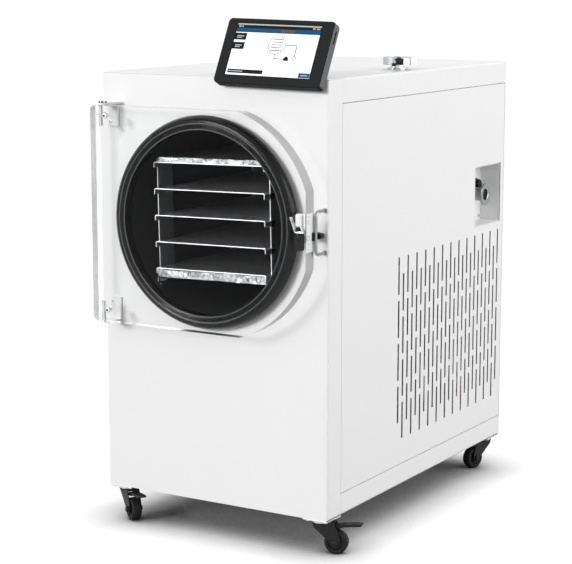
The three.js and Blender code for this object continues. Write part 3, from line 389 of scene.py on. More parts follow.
def makeFinish(name, slot, color, drift, rough, spread, look):
    tree, shader = newMaterial(name, slot)
    toned = placed(tree, surfaceTone, {"Color": colour(color), "Amount": drift, "Roughness": rough,
                                       "Scale": look.get("toneScale", 9.0), "Spread": spread})
    shown, layers = toned["Color"], []
    # colour along the edges: edge wear and a painted highlight
    if "wear" in look:
        tint, width, amount = look["wear"]
        layers.append((placed(tree, edgeWearAndHighlight, {"Width": width, "Amount": amount})["Mask"], tint))
    if "dust" in look:
        layers.append((placed(tree, settledDust, {"Amount": look["dust"]})["Mask"], dustColor))
    # dark colour in the creases: painted shade
    if "creasesAndShade" in look:
        scale, amount, tint, height = look["creasesAndShade"]
        folded = placed(tree, foldedFoil, {"Scale": scale, "Amount": amount})
        layers.append((folded["Mask"], tint))
        relief = folded["Height"]
    elif "grain" in look:
        scale, height = look["grain"]
        relief = placed(tree, fineGrain, {"Scale": scale})["Height"]
    else:
        *stretch, height = look["brushed"]
        relief = placed(tree, brushedGrain, {"Stretch": stretch})["Height"]
    for mask, tint in layers:
        shown = node(tree, "Mix", {0: mask, 6: shown, 7: colour(tint)}, data_type="RGBA").outputs[2]
    fill(tree, shader, {
        "Metallic": look.get("metallic", 0.0), "Coat Weight": look.get("coat", 0.0),
        "Coat Roughness": coatRoughness, "Specular IOR Level": look.get("shine", 0.5), "Base Color": shown,
        "Roughness": toned["Roughness"], "Normal": bumped(tree, relief, height, reliefStrength)})


clearPlastic = {
    "ior": 1.49, "roughness": 0.0, "color": (0.985, 0.992, 0.99, 1.0), "mirror": (0.04, 0.04, 0.04, 1.0),
    # the rim's matt share and its light grey: a painted reflection of the polished edge
    "paintedRimShare": 0.5, "paintedRimColor": (0.9, 0.9, 0.9, 1.0),
    "faceShadow": 0.03, "edgeShadow": 0.26,      # how much of the light each keeps from passing
    "scratchScale": 420.0, "scratchHeight": 0.000002, "scratchStrength": 0.4,
}


def makeClear(name, shadow, share=1.0, tint=clearPlastic["color"]):
    # clear acrylic: lamps reach through it, less a share; an edge passes less than a face; a share below 1
    # leaves the rest matt, which on the rim is a painted reflection
    look = clearPlastic
    tree, shader = newMaterial(name, "clear_acrylic")
    relief = placed(tree, fineGrain, {"Scale": look["scratchScale"]})["Height"]
    fill(tree, shader, {
        "Base Color": tint, "IOR": look["ior"], "Roughness": look["roughness"],
        "Specular Tint": look["mirror"], "Transmission Weight": share,
        "Normal": bumped(tree, relief, look["scratchHeight"], look["scratchStrength"])})
    passed = node(tree, "BsdfTransparent", {"Color": (1 - shadow, 1 - shadow, 1 - shadow, 1)}).outputs[0]
    path = node(tree, "LightPath").outputs
    bounced = mixed(tree, path["Is Diffuse Ray"], shader.outputs[0], passed)
    lit = mixed(tree, path["Is Shadow Ray"], bounced, passed)
    fill(tree, tree.nodes["Material Output"], {"Surface": lit})


screenLook = {
    "tints": {"screenField": "#F1F2F5", "screenBlue": "#0A4468", "screenDark": "#08090A",
              "screenGrey": "#4A4A44", "screenLine": "#22262B", "screenPale": "#A4A7AC"},
    "glow": 0.3, "shine": 0.2,
}


def makeScreenTint(name, code):
    # a lit display under glass: part of the light is its own
    tree, shader = newMaterial(name, "screen_glass")
    toned = placed(tree, surfaceTone, {"Color": colour(code), "Amount": 0.06, "Scale": 14.0,
                                       "Roughness": 0.1, "Spread": 0.05})
    fill(tree, shader, {"Base Color": toned["Color"], "Emission Color": toned["Color"],
                        "Roughness": toned["Roughness"], "Specular IOR Level": screenLook["shine"],
                        "Emission Strength": screenLook["glow"]})


for finishName, finishLook in finishes.items():
    makeFinish(finishName, *finishLook)
makeClear("clearFace", clearPlastic["faceShadow"])
makeClear("clearEdge", clearPlastic["edgeShadow"])
makeClear("clearRimPaintedGrey", clearPlastic["edgeShadow"], clearPlastic["paintedRimShare"], clearPlastic["paintedRimColor"])
for tintName, tintCode in screenLook["tints"].items():
    makeScreenTint(tintName, tintCode)
print("materials made:", len(materials))


# Shapes, all drawn in millimetres.
def vertsIn(geometry):
    return [item for item in geometry if isinstance(item, bmesh.types.BMVert)]


def edgesIn(geometry):
    return [item for item in geometry if isinstance(item, bmesh.types.BMEdge)]


def sharpEdges(mesh, angle):
    return [edge for edge in mesh.edges
            if edge.is_manifold and edge.calc_face_angle(0.0) > math.radians(angle)]


def bevel(mesh, parts, width, segments, affect="EDGES", clamp=True):
    bmesh.ops.bevel(mesh, geom=parts, offset=width, offset_type="OFFSET", segments=segments, profile=0.5,
                    affect=affect, material=-1, clamp_overlap=clamp)


def roundEdges(mesh, width, segments=2, angle=32.0):
    bevel(mesh, sharpEdges(mesh, angle), width, segments)


def shift(mesh, offset, verts=None):
    bmesh.ops.translate(mesh, vec=offset, verts=mesh.verts if verts is None else verts)


def faceOut(mesh):
    bmesh.ops.recalc_face_normals(mesh, faces=mesh.faces)
    return mesh


def drawOut(mesh, edges, offset):
    # draws edges out into faces, and returns the open edges that this leaves
    made = bmesh.ops.extrude_edge_only(mesh, edges=edges)["geom"]
    shift(mesh, offset, vertsIn(made))
    return [edge for edge in edgesIn(made) if edge.is_boundary]


def turnedShape(profile, steps=64):
    # radius and height, spun round z; a profile that starts off the axis is closed into a ring
    mesh = bmesh.new()
    points = [mesh.verts.new((radius, 0, height)) for radius, height in profile]
    line = points + points[:1] if profile[0][0] > 0 else points
    edges = [mesh.edges.new(pair) for pair in zip(line, line[1:])]
    bmesh.ops.spin(mesh, geom=points + edges, cent=(0, 0, 0), axis=(0, 0, 1), angle=math.tau,
                   steps=steps, use_merge=True, use_duplicate=False)
    bmesh.ops.remove_doubles(mesh, verts=mesh.verts, dist=0.0005)
    return faceOut(mesh)


def disc(radius, low, high, steps):
    return turnedShape([(0, low), (radius, low), (radius, high), (0, high)], steps)


def blockShape(xSpan, ySpan, zSpan, edge=0.0, segments=2):
    mesh = bmesh.new()
    spans = (xSpan, ySpan, zSpan)
    bmesh.ops.create_cube(mesh, size=1.0)
    bmesh.ops.scale(mesh, vec=[abs(high - low) for low, high in spans], verts=mesh.verts)
    shift(mesh, [(low + high) / 2 for low, high in spans])
    if edge:
        roundEdges(mesh, edge, segments)
    return mesh


def flatFace(xSpan, ySpan):
    mesh = bmesh.new()
    (x0, x1), (y0, y1) = xSpan, ySpan
    mesh.faces.new([mesh.verts.new((x, y, 0)) for x, y in ((x0, y0), (x1, y0), (x1, y1), (x0, y1))])
    return mesh


def plateShape(side, thickness, corner, edge):
    # a square plate with round corners, grown up z
    mesh = flatFace((-side / 2, side / 2), (-side / 2, side / 2))
    bevel(mesh, mesh.verts[:], corner, 5, "VERTICES")
    grown = bmesh.ops.extrude_face_region(mesh, geom=mesh.faces[:])["geom"]
    shift(mesh, (0, 0, thickness), vertsIn(grown))
    roundEdges(faceOut(mesh), edge)
    return mesh


def onRim(edge, uSpan, vSpan):
    return any(all(abs(vert.co[axis] - limit) < 0.001 for vert in edge.verts)
               for axis, span in ((0, uSpan), (1, vSpan)) for limit in span)


def perforatedSheet(uSpan, vSpan, holes, sheet, flange=0.0, corner=0.8, edge=0.25):
    # a flat sheet in x and y with its face at z = 0, cut along every hole's sides, its hole faces
    # deleted, its rim folded down, then thickened downwards
    mesh = flatFace(uSpan, vSpan)
    cuts = [((u, 0, 0), (1, 0, 0)) for hole in holes for u in hole[:2]]
    cuts += [((0, v, 0), (0, 1, 0)) for hole in holes for v in hole[2:]]
    for place, direction in sorted(set(cuts)):
        bmesh.ops.bisect_plane(mesh, geom=mesh.verts[:] + mesh.edges[:] + mesh.faces[:], dist=0.0001,
                               plane_co=place, plane_no=direction)
    gone = []
    for face in mesh.faces:
        middle = face.calc_center_median()
        if any(u0 < middle.x < u1 and v0 < middle.y < v1 for u0, u1, v0, v1 in holes):
            gone.append(face)
    bmesh.ops.delete(mesh, geom=gone, context="FACES")
    if flange:
        outer = [item for item in mesh.edges if item.is_boundary and onRim(item, uSpan, vSpan)]
        drawOut(mesh, outer, (0, 0, -flange))
    faceOut(mesh)
    if sum(face.normal.z * face.calc_area() for face in mesh.faces) < 0:
        bmesh.ops.reverse_faces(mesh, faces=mesh.faces)
    bmesh.ops.solidify(mesh, geom=mesh.faces[:], thickness=sheet)
    shift(mesh, (0, 0, -max(vert.co.z for vert in mesh.verts)))
    faceOut(mesh)
    through = [item for item in sharpEdges(mesh, 57.3) if item.calc_length() < sheet + 0.05
               and abs((item.verts[0].co - item.verts[1].co).normalized().z) > 0.99]
    bevel(mesh, through, corner, 3, clamp=False)
    bevel(mesh, sharpEdges(mesh, 57.3), edge, 1, clamp=False)
    return mesh


def pipeShape(path, radius, bend=8.0, sides=16, bendSteps=7):
    # a tube that goes straight between points and turns on a round bend at each
    points = [Vector(point) for point in path]
    mesh = bmesh.new()
    ahead = (points[1] - points[0]).normalized()
    bmesh.ops.create_circle(mesh, cap_ends=True, radius=radius, segments=sides,
                            matrix=spot(*points[0]) @ ahead.to_track_quat("Z", "X").to_matrix().to_4x4())
    rim, at = mesh.edges[:], points[0]
    for corner, beyond in zip(points[1:], points[2:] + [None]):
        onward = (beyond - corner).normalized() if beyond is not None else ahead
        angle = ahead.angle(onward)
        reach = bend * math.tan(angle / 2) if angle > 0.01 else 0.0
        stop = corner - ahead * reach
        rim, at = drawOut(mesh, rim, stop - at), stop
        if reach:
            axis = ahead.cross(onward).normalized()
            ends = list({vert for edge in rim for vert in edge.verts})
            swept = bmesh.ops.spin(mesh, geom=ends + rim, cent=stop + axis.cross(ahead) * bend, axis=axis,
                                   angle=angle, steps=bendSteps, use_duplicate=False)
            rim, at = edgesIn(swept["geom_last"]), corner + onward * reach
        ahead = onward
    bmesh.ops.contextual_create(mesh, geom=rim)
    return faceOut(mesh)


def socketScrew(radius, height, recess, depth, washer=0.0):
    # button head with a six-sided recess, on a flat washer when one is given
    mesh = turnedShape([(0, -0.4), (radius, -0.4), (radius, height * 0.35), (radius * 0.9, height * 0.75),
                        (radius * 0.62, height)], 24)
    rim = [edge for edge in mesh.edges if edge.is_boundary]
    hexagon = bmesh.ops.create_circle(mesh, cap_ends=False, radius=recess, segments=6,
                                      matrix=spot(0, 0, height))["verts"]
    inner = list({edge for vert in hexagon for edge in vert.link_edges})
    bmesh.ops.bridge_loops(mesh, edges=rim + inner)
    bmesh.ops.contextual_create(mesh, geom=drawOut(mesh, inner, (0, 0, -depth)))
    faceOut(mesh)
    if washer:
        join(mesh, turnedShape([(0, -0.5), (washer, -0.5), (washer, 0.3), (washer - 0.4, 0.6), (0, 0.6)], 24))
    return mesh


def join(target, part, placing=None, material=None):
    if placing is not None:
        part.transform(placing)
    if material is not None:
        for face in part.faces:
            face.material_index = material
    holder = bpy.data.meshes.new("holder")
    part.to_mesh(holder)
    part.free()
    target.from_mesh(holder)
    bpy.data.meshes.remove(holder)


def grid(first, second):
    return [(a, b) for a in first for b in second]


def corners(first, second, inset):
    # the four corners of two spans, moved in
    return grid((first[0] + inset, first[1] - inset), (second[0] + inset, second[1] - inset))


def addScrews(mesh, size, places, facing=Matrix(), material=None):
    for place in places:
        join(mesh, socketScrew(*size), spot(*place) @ facing, material)
    return mesh


def crumple(mesh, height, scale, seed):
    # pushes points about so that flat sheets crease
    for vert in mesh.verts:
        place = Vector(vert.co) * scale + Vector((seed, seed * 1.7, seed * 0.3))
        near = noise.voronoi(place)[0]
        vert.co += vert.normal * height * (near[1] - near[0] - 0.3)
        vert.co += 0.35 * height * noise.noise_vector(place * 2.3)


def camel(name):
    first, *rest = name.split("_")
    return first + "".join(word.capitalize() for word in rest)


def finishPiece(name, mesh, finishNames, body="cabinet", replaced=(), smooth=34.0, placing=None):
    if placing is not None:
        mesh.transform(placing)
    data = bpy.data.meshes.new(name)
    mesh.to_mesh(data)
    mesh.free()
    data.transform(toFrame)
    for finishName in finishNames:
        data.materials.append(materials[finishName])
    data.shade_smooth()
    data.set_sharp_from_angle(angle=math.radians(smooth))
    piece = addObject(name, data)
    piece.modifiers.new("faceWeighted", "WEIGHTED_NORMAL").keep_sharp = True
    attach(piece, body)
    if replaced:
        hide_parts(*replaced)


def replaceNode(cadName, mesh, finishNames, body="cabinet", **settings):
    finishPiece(camel(cadName), mesh, finishNames, body, [cadName], **settings)


def nodeCopy(cadName):
    mesh = bmesh.new()
    mesh.from_mesh(nodes[cadName].data)
    mesh.transform(toLayout)
    for face in mesh.faces:
        face.material_index = 0
    bmesh.ops.remove_doubles(mesh, verts=mesh.verts, dist=0.002)
    bmesh.ops.dissolve_limit(mesh, angle_limit=math.radians(0.5), verts=mesh.verts, edges=mesh.edges)
    return mesh


def refineNode(cadName, finishNames, edge, segments=2, angle=32.0, choose=None, name=None, smooth=34.0):
    # the CAD piece again with its edges rounded; choose(face centre, normal) picks the finish
    mesh = nodeCopy(cadName)
    roundEdges(mesh, edge, segments, angle)
    if choose:
        for face in mesh.faces:
            face.material_index = choose(face.calc_center_median(), face.normal)
    finishPiece(name or camel(cadName), mesh, finishNames, nodes[cadName]["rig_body"], [cadName], smooth)


# Painted sheets. Odd columns of slots stand lower than even ones.
sheets = {"plain": ("front_panel", "top_panel", "base_pan", "port_pocket"), "edge": 0.4, "smooth": 25.0}
louvres = {
    "columns": 25, "rows": 4, "columnPitch": 16.0, "rowPitch": 72.0, "length": 62.0, "width": 5.0,
    "stagger": 28.5, "lastColumn": 617.5, "top": 443.5, "sheet": 1.0, "flange": 12.0,
    "leftColumns": 13, "leftRows": 2,
    "fanRows": 9, "fanRadius": 98.0, "fanSlot": 8.0, "fanBridge": 5.0,
    "inletFlange": 5.0, "clearance": 0.3, "rearCorner": 2.5,
}


def finishSheet(cadName, mesh, place, heading):
    replaceNode(cadName, mesh, ["whitePaint"], smooth=sheets["smooth"],
                placing=spot(*place) @ turn(heading, "Z") @ forward)


def slotField(columns, rows, top):
    size, holes = louvres, []
    half = size["width"] / 2
    for column in range(columns):
        middle = size["lastColumn"] - (columns - 1 - column) * size["columnPitch"]
        for row in range(rows):
            upper = top - (column % 2) * size["stagger"] - row * size["rowPitch"]
            holes.append((middle - half, middle + half, upper - size["length"], upper))
    return holes


def makeSidePanels():
    size = louvres
    gap, fold = size["clearance"], size["flange"] - size["sheet"]
    low, high, _ = nodeBox("side_panel_right")
    pocketLow, pocketHigh, _ = nodeBox("port_pocket")
    holes = slotField(size["columns"], size["rows"], size["top"])
    holes.append((pocketLow.y - gap, pocketHigh.y + 4.0, pocketLow.z - gap, pocketHigh.z + gap))
    mesh = perforatedSheet((low.y, high.y), (low.z, high.z), holes, size["sheet"], fold)
    finishSheet("side_panel_right", mesh, (high.x, 0, 0), 90)

    low, high, _ = nodeBox("side_panel_left")
    holes = slotField(size["leftColumns"], size["leftRows"], size["top"] - 2 * size["rowPitch"])
    holes = [(-v1, -v0, w0, w1) for v0, v1, w0, w1 in holes]
    mesh = perforatedSheet((-high.y, -low.y), (low.z, high.z), holes, size["sheet"], fold)
    finishSheet("side_panel_left", mesh, (low.x, 0, 0), -90)


def makeRearPanel():
    size = louvres
    low, high, _ = nodeBox("rear_panel")
    fan = nodeBox("fan_rotor")[2]
    radius, half, holes = size["fanRadius"], size["fanSlot"] / 2, []
    for row in range(size["fanRows"]):
        rise = (row - (size["fanRows"] - 1) / 2) * 2 * radius / size["fanRows"]
        reach = math.sqrt(radius ** 2 - rise ** 2)
        for way in (-1, 1):
            ends = sorted((-fan.x + way * size["fanBridge"], -fan.x + way * reach))
            holes.append((*ends, fan.z + rise - half, fan.z + rise + half))
    inletLow, inletHigh, _ = nodeBox("mains_inlet")
    inset = size["inletFlange"] - size["clearance"]
    holes.append((inset - inletHigh.x, -inletLow.x - inset, inletLow.z + inset, inletHigh.z - inset))
    mesh = perforatedSheet((-high.x, -low.x), (low.z, high.z), holes, high.y - low.y, 0.0, size["rearCorner"])
    finishSheet("rear_panel", mesh, (0, high.y, 0), 180)


panelScrew = {"size": (3.6, 2.1, 1.5, 1.4, 5.0), "inset": 7.5, "gap": 0.3, "sideInset": 14.0}


def makePanelScrews():
    low, high, middle = nodeBox("rear_panel")
    size, inset, gap, far = (panelScrew[key] for key in ("size", "inset", "gap", "sideInset"))
    rows = (low.x + inset + 4, low.x + 120, middle.x, high.x - 120, high.x - inset - 4)
    spots = [(x, z) for z, x in grid((low.z + inset, high.z - inset), rows)]
    spots += grid((low.x + inset, high.x - inset), (low.z + 230, high.z - 230))
    mesh = addScrews(bmesh.new(), size, [(x, high.y + gap, z) for x, z in spots], backward)
    low, high, middle = nodeBox("side_panel_left")
    spots = grid((low.y + far, middle.y, high.y - far), (low.z + far, high.z - far))
    addScrews(mesh, size, [(low.x - gap, y, z) for y, z in spots], leftward)
    finishPiece("panelScrews", mesh, ["zincPlate"])


for sheetName in sheets["plain"]:
    refineNode(sheetName, ["whitePaint"], sheets["edge"], smooth=sheets["smooth"])
makeSidePanels()
makeRearPanel()
makePanelScrews()
print("cabinet sheets done")

# Chamber: rubber ring, pressed vessel, insulation.
axisX, _, axisZ = nodeBox("chamber_gasket")[2]
onAxis = spot(axisX, 0, axisZ) @ backward
gasketRing = {
    "steps": 160,
    "section": [(146.0, -3.9), (145.9, -17.5), (146.3, -20.4), (147.2, -22.4), (148.6, -23.5), (150.8, -23.7),
                (151.6, -23.3), (152.0, -22.0), (152.6, -21.0), (153.8, -20.7), (155.6, -21.0), (156.5, -22.0),
                (157.0, -23.2), (157.9, -23.7), (159.6, -23.5), (161.2, -22.9), (162.6, -21.9), (163.4, -21.1),
                (164.2, -20.6), (165.2, -19.4), (165.7, -18.2), (166.5, -17.2), (167.3, -15.6),
                (167.6, -14.2), (168.2, -13.2), (168.6, -11.6), (168.5, -10.0), (168.1, -8.6),
                (167.0, -7.8), (166.2, -6.8), (165.0, -6.2), (163.8, -4.9), (162.6, -4.3),
                (161.4, -2.6), (161.0, -0.5), (160.2, -0.5), (160.2, -3.9)],
    "ridges": ((156.4, -22.6), (147.0, -22.4)), "ridge": 0.55, "ridgeSides": 8,
}


def makeGasket():
    size = gasketRing
    mesh = turnedShape(size["section"], size["steps"])
    angles = [step * math.tau / size["ridgeSides"] for step in range(size["ridgeSides"])]
    # thin light grey beads along the lips: a painted highlight on the black rubber
    for radius, depth in size["ridges"]:
        ridge = [(radius + size["ridge"] * math.cos(angle), depth + size["ridge"] * math.sin(angle))
                 for angle in angles]
        join(mesh, turnedShape(ridge, size["steps"]), material=1)
    replaceNode("chamber_gasket", mesh, ["gasketRubber", "ridgePaintedHighlight"], smooth=62, placing=onAxis)


vessel = {
    "steps": 144,
    "section": [(0, 396.0), (40, 395.5), (70, 393.9), (91.1, 391.6), (112, 387.4), (127, 382.2), (135.2, 378.2),
                (141.5, 372.6), (145.2, 367), (146.9, 360.6), (146.4, 359.6), (145.9, 358.2), (145.9, 356.4),
                (146.4, 355), (147, 354), (147, -1.5), (148.2, -3.2), (149.5, -3.5), (159.4, -3.5),
                (160, -3.1), (160, -0.6), (159.4, -0.3), (150, -0.3), (150, 365), (146.5, 378), (138, 385),
                (110, 393), (60, 398), (0, 399)],
    "jacket": [(0, 399.8), (61, 398.7), (111, 393.8), (139, 385.9), (147.4, 378.4), (150.7, 365.2),
               (150.7, 1.8), (176, 1.8), (177, 3), (177, 397), (175, 402), (152, 425), (149, 426), (0, 426)],
    "bands": (60, 205, 350), "portRadius": 26.0, "portDepth": 382.0,
    "stands": 3, "standAt": 21.0, "standRadius": 2.2, "standEnd": 393.0, "screw": (3.4, 2.0, 1.5, 1.3),
}


def makeVessel():
    size = vessel
    replaceNode("chamber_vessel", turnedShape(size["section"], size["steps"]), ["chamberCoat"],
                smooth=40, placing=onAxis)
    radius, depth = size["portRadius"], size["portDepth"]       # baffle over the pumping port
    mesh = turnedShape([(0, depth), (radius - 1, depth), (radius, depth + 0.7), (radius - 1, depth + 1.5),
                        (0, depth + 1.5)], 48)
    mesh.transform(onAxis)
    for step in range(size["stands"]):
        angle = math.radians(90 + 360 / size["stands"] * step)
        place = spot(axisX + size["standAt"] * math.cos(angle), 0, axisZ + size["standAt"] * math.sin(angle))
        join(mesh, disc(size["standRadius"], depth + 1, size["standEnd"], 12), place @ backward)
        join(mesh, socketScrew(*size["screw"]), place @ spot(0, depth - 0.2, 0) @ forward)
    finishPiece("portBaffle", mesh, ["shelfSteel"])

    mesh = turnedShape(size["jacket"], 96)
    for start in size["bands"]:
        band = [(176.6, start), (177.5, start + 0.5), (177.5, start + 17.5), (176.6, start + 18)]
        join(mesh, turnedShape(band, 96), material=1)
    replaceNode("insulation_jacket", mesh, ["paleFoam", "machineBlack"], placing=onAxis)


# Shelf rack: it rests slightly turned about the chamber's axis.
rack = {
    "tilt": -1.2, "sheet": 1.5, "lip": 10.0, "bendRadius": 2.6, "count": 5, "pitch": 42.5, "depth": 350.0,
    "half": 103.997, "topShelf": 92.0, "postHead": 96.0, "postFoot": 101.1, "postWidth": 41.0,
    "postFronts": (13.0, 296.0), "clip": (3.4, 11.0, 8.4), "gap": 0.3, "toe": 6.0, "toeDepth": 9.0,
}
rackPlacing = spot(axisX, 0, axisZ) @ turn(rack["tilt"], "Y")


def shelfShape(level):
    # a sheet in section, with both ends turned down on a round bend, drawn out to the shelf's depth
    half, sheet = rack["half"] - rack["sheet"] / 2, rack["sheet"]
    lip, top = level - rack["lip"], level - sheet / 2
    mesh = bmesh.new()
    line = [mesh.verts.new((x, 0, z)) for x, z in ((-half, lip), (-half, top), (half, top), (half, lip))]
    for pair in zip(line, line[1:]):
        mesh.edges.new(pair)
    bevel(mesh, line[1:3], rack["bendRadius"], 5, "VERTICES")
    drawOut(mesh, mesh.edges[:], (0, rack["depth"], 0))
    bmesh.ops.solidify(mesh, geom=faceOut(mesh).faces[:], thickness=sheet)
    shift(mesh, (0, 0, level - max(vert.co.z for vert in mesh.verts)))
    roundEdges(faceOut(mesh), 0.3, 2, 60.0)
    return mesh


def makeRack():
    size = rack
    levels = [size["topShelf"] - number * size["pitch"] for number in range(size["count"])]
    for number, level in enumerate(levels, 1):
        finishPiece("rackShelf" + str(number), shelfShape(level), ["shelfSteel"],
                    replaced=["shelf_" + str(number)], placing=rackPlacing)
    posts, clips = bmesh.new(), bmesh.new()
    foot, (first, second) = -size["postFoot"], size["postFronts"]
    wide, deep, tall = size["clip"]
    hooks = ((first, -1.8, 0.6), (second + size["postWidth"] - deep, deep - 0.6, deep + 1.0))
    for side in (-1, 1):
        near = side * (size["half"] + size["gap"])
        outer = near + side * (size["sheet"] + 0.1)
        leaf, wrap = (outer, outer + side * wide * 0.4), (near - side * 0.25, outer + side * 0.9)
        for front in (first, second):
            join(posts, blockShape((near, near + side * size["sheet"]), (front, front + size["postWidth"]),
                                   (foot, size["postHead"]), 0.3))
            join(posts, blockShape((near, near - side * size["toe"]), (front, front + size["toeDepth"]),
                                   (foot, foot + size["sheet"]), 0.3))
        x, y = near + side * 2.2, first - 4.0      # wire curl at the foot
        join(posts, pipeShape([(x, y, foot + 6), (x, y, foot - 4), (x + 6, y, foot - 5)], 0.9, 3.0, 10, 6))
        for level in levels:
            span = (level - tall - 1.5, level - 1.5)
            for front, start, end in hooks:
                join(clips, blockShape(leaf, (front - 0.8, front + deep), span, 0.5))
                join(clips, blockShape(wrap, (front + start, front + end), span, 0.4))
    postEnds = grid(("front", "rear"), ("left", "right"))
    finishPiece("rackPosts", posts, ["shelfSteel"], placing=rackPlacing,
                replaced=["rack_post_" + end + "_" + side for end, side in postEnds])
    finishPiece("rackClips", clips, ["gripPlastic"], placing=rackPlacing)


foilBlankets = {
    "levels": {"top": {"half": 94.997, "z": (92.4, 99.7), "height": 1.7, "scale": 0.055, "seed": 3.0},
               "bottom": {"half": 102.2, "z": (-92.9, -80.6), "height": 2.3, "scale": 0.06, "seed": 11.0}},
    "cuts": 46, "sideCuts": 2, "span": (1.5, 347.0), "noiseSeed": 7,
}


def makeFoil():
    noise.seed_set(foilBlankets["noiseSeed"])      # without it the creases differ from run to run
    for level, size in foilBlankets["levels"].items():
        half = size["half"] - 0.5
        mesh = blockShape((-half, half), foilBlankets["span"], size["z"])
        for upright, cuts in ((False, foilBlankets["cuts"]), (True, foilBlankets["sideCuts"])):
            chosen = [edge for edge in mesh.edges
                      if (abs(edge.verts[0].co.z - edge.verts[1].co.z) > 1) == upright]
            bmesh.ops.subdivide_edges(mesh, edges=chosen, cuts=cuts, use_grid_fill=True)
        mesh.normal_update()
        crumple(mesh, size["height"], size["scale"], size["seed"])
        for vert in mesh.verts:
            vert.co.z = min(max(vert.co.z, size["z"][0] - 0.2), size["z"][1] + 0.6)
        replaceNode("foil_blanket_" + level, mesh, ["foilSkin"], smooth=24, placing=rackPlacing)


makeGasket()
makeVessel()
makeRack()
makeFoil()
print("chamber and rack done")

# Clear door with its hinges.
doorLow, doorHigh, doorMiddle = nodeBox("door_panel")
hinge = {
    "x": -184.0, "pinReach": 3.7, "head": 5.0, "height": 3.0, "recess": 2.1, "depth": 2.0, "shank": 2.5,
    "topCaps": ((-5.4, -1.0, 1.3), (0.0, 0.0, 2.3), (4.6, 3.0, 1.7)),      # x, y, radius
    "plateScrew": (2.6, 1.0, 1.1, 0.8), "plateInset": (5.0, 8.0),
}


def doorFinish(centre, normal):
    if abs(normal.y) > 0.92:
        return 0
    # edges facing up and sideways take the matt grey rim: a painted reflection
    return 2 if abs(normal.x) > 0.25 or normal.z > 0.25 else 1


def hingeFinish(centre, normal):
    reach = math.hypot(centre.x - hinge["x"], centre.y - doorMiddle.y)
    within = doorLow.z - 0.2 < centre.z < doorHigh.z + 0.2
    return 1 if reach < hinge["pinReach"] and (within or abs(normal.z) > 0.9) else 0


def makeHingeScrews():
    size = hinge
    for end, doorEnd in (("upper", doorHigh.z), ("lower", doorLow.z)):
        low, high, middle = nodeBox("hinge_screw_" + end)
        place, front, shank = spot(middle.x, 0, middle.z), low.y + size["height"], size["shank"]
        mesh = bmesh.new()
        join(mesh, socketScrew(size["head"], size["height"], size["recess"], size["depth"]),
             place @ spot(0, front, 0) @ forward)
        join(mesh, turnedShape([(0, front - 0.2), (shank, front - 0.2), (shank, high.y - 1),
                                (shank - 0.8, high.y), (0, high.y)], 20), place @ backward)
        replaceNode("hinge_screw_" + end, mesh, ["polishedSteel"], "door")
        low, high, _ = nodeBox("hinge_bracket_" + end)
        x, inset = size["plateInset"]
        spots = [(low.x + x, -2.9, z) for z in (low.z + inset, high.z - inset) if abs(z - doorEnd) >= 6]
        finishPiece("hingePlateScrews" + end.capitalize(),
                    addScrews(bmesh.new(), size["plateScrew"], spots, forward), ["polishedSteel"])
    mesh = bmesh.new()      # black cap on the upper hinge pin, and a small screw on either side
    topZ = nodeBox("hinge_bracket_upper")[1].z
    for dx, dy, radius in size["topCaps"]:
        join(mesh, turnedShape([(0, -0.2), (radius, -0.2), (radius, 1.4), (radius - 0.5, 2.0), (0, 2.0)], 24),
             spot(size["x"] + dx, doorMiddle.y + dy, topZ))
    finishPiece("hingeTopCaps", mesh, ["gripPlastic"])


# Latch: a plate with a white block and sprung cheeks on the door, and a handle that turns.
latch = {
    "plate": ((183.2, 200.0), (-50.0, -48.35), (502.0, 546.0)),
    "side": ((198.3, 200.0), (-50.0, -25.4), (487.0, 546.0)),
    "block": ((185.2, 193.6), (-57.0, -50.0), (527.4, 545.8)),
    "bridge": ((184.2, 198.0), (-56.6, -50.1), (517.8, 519.0)),
    "root": ((200.2, 203.4), (-33.0, -24.4), (503.8, 516.2)),
    "cheeks": (((175.6, 540.6), (184.0, 518.2)), ((192.8, 528.4), (198.2, 518.2))),
    "cheekY": (-56.4, -50.1), "cheekThick": 1.5, "knob": (189.3, 523.2), "knobRadius": 3.6,
    "screws": (541.5, 535.0, 531.5, 500.5, 491.5), "screw": (1.5, 0.7, 0.7, 0.5), "screwY": -43.5,
    "boss": (-44.0, 509.5), "axis": (191.0, 510.0), "capFront": -58.2,
}


def leaningBar(start, end, ySpan, thickness):
    first, second = Vector((start[0], 0, start[1])), Vector((end[0], 0, end[1]))
    along = second - first
    mesh = blockShape((-thickness / 2, thickness / 2), ySpan, (0, along.length), 0.4)
    mesh.transform(spot(*first) @ Matrix.Rotation(math.atan2(along.x, along.z), 4, "Y"))
    return mesh


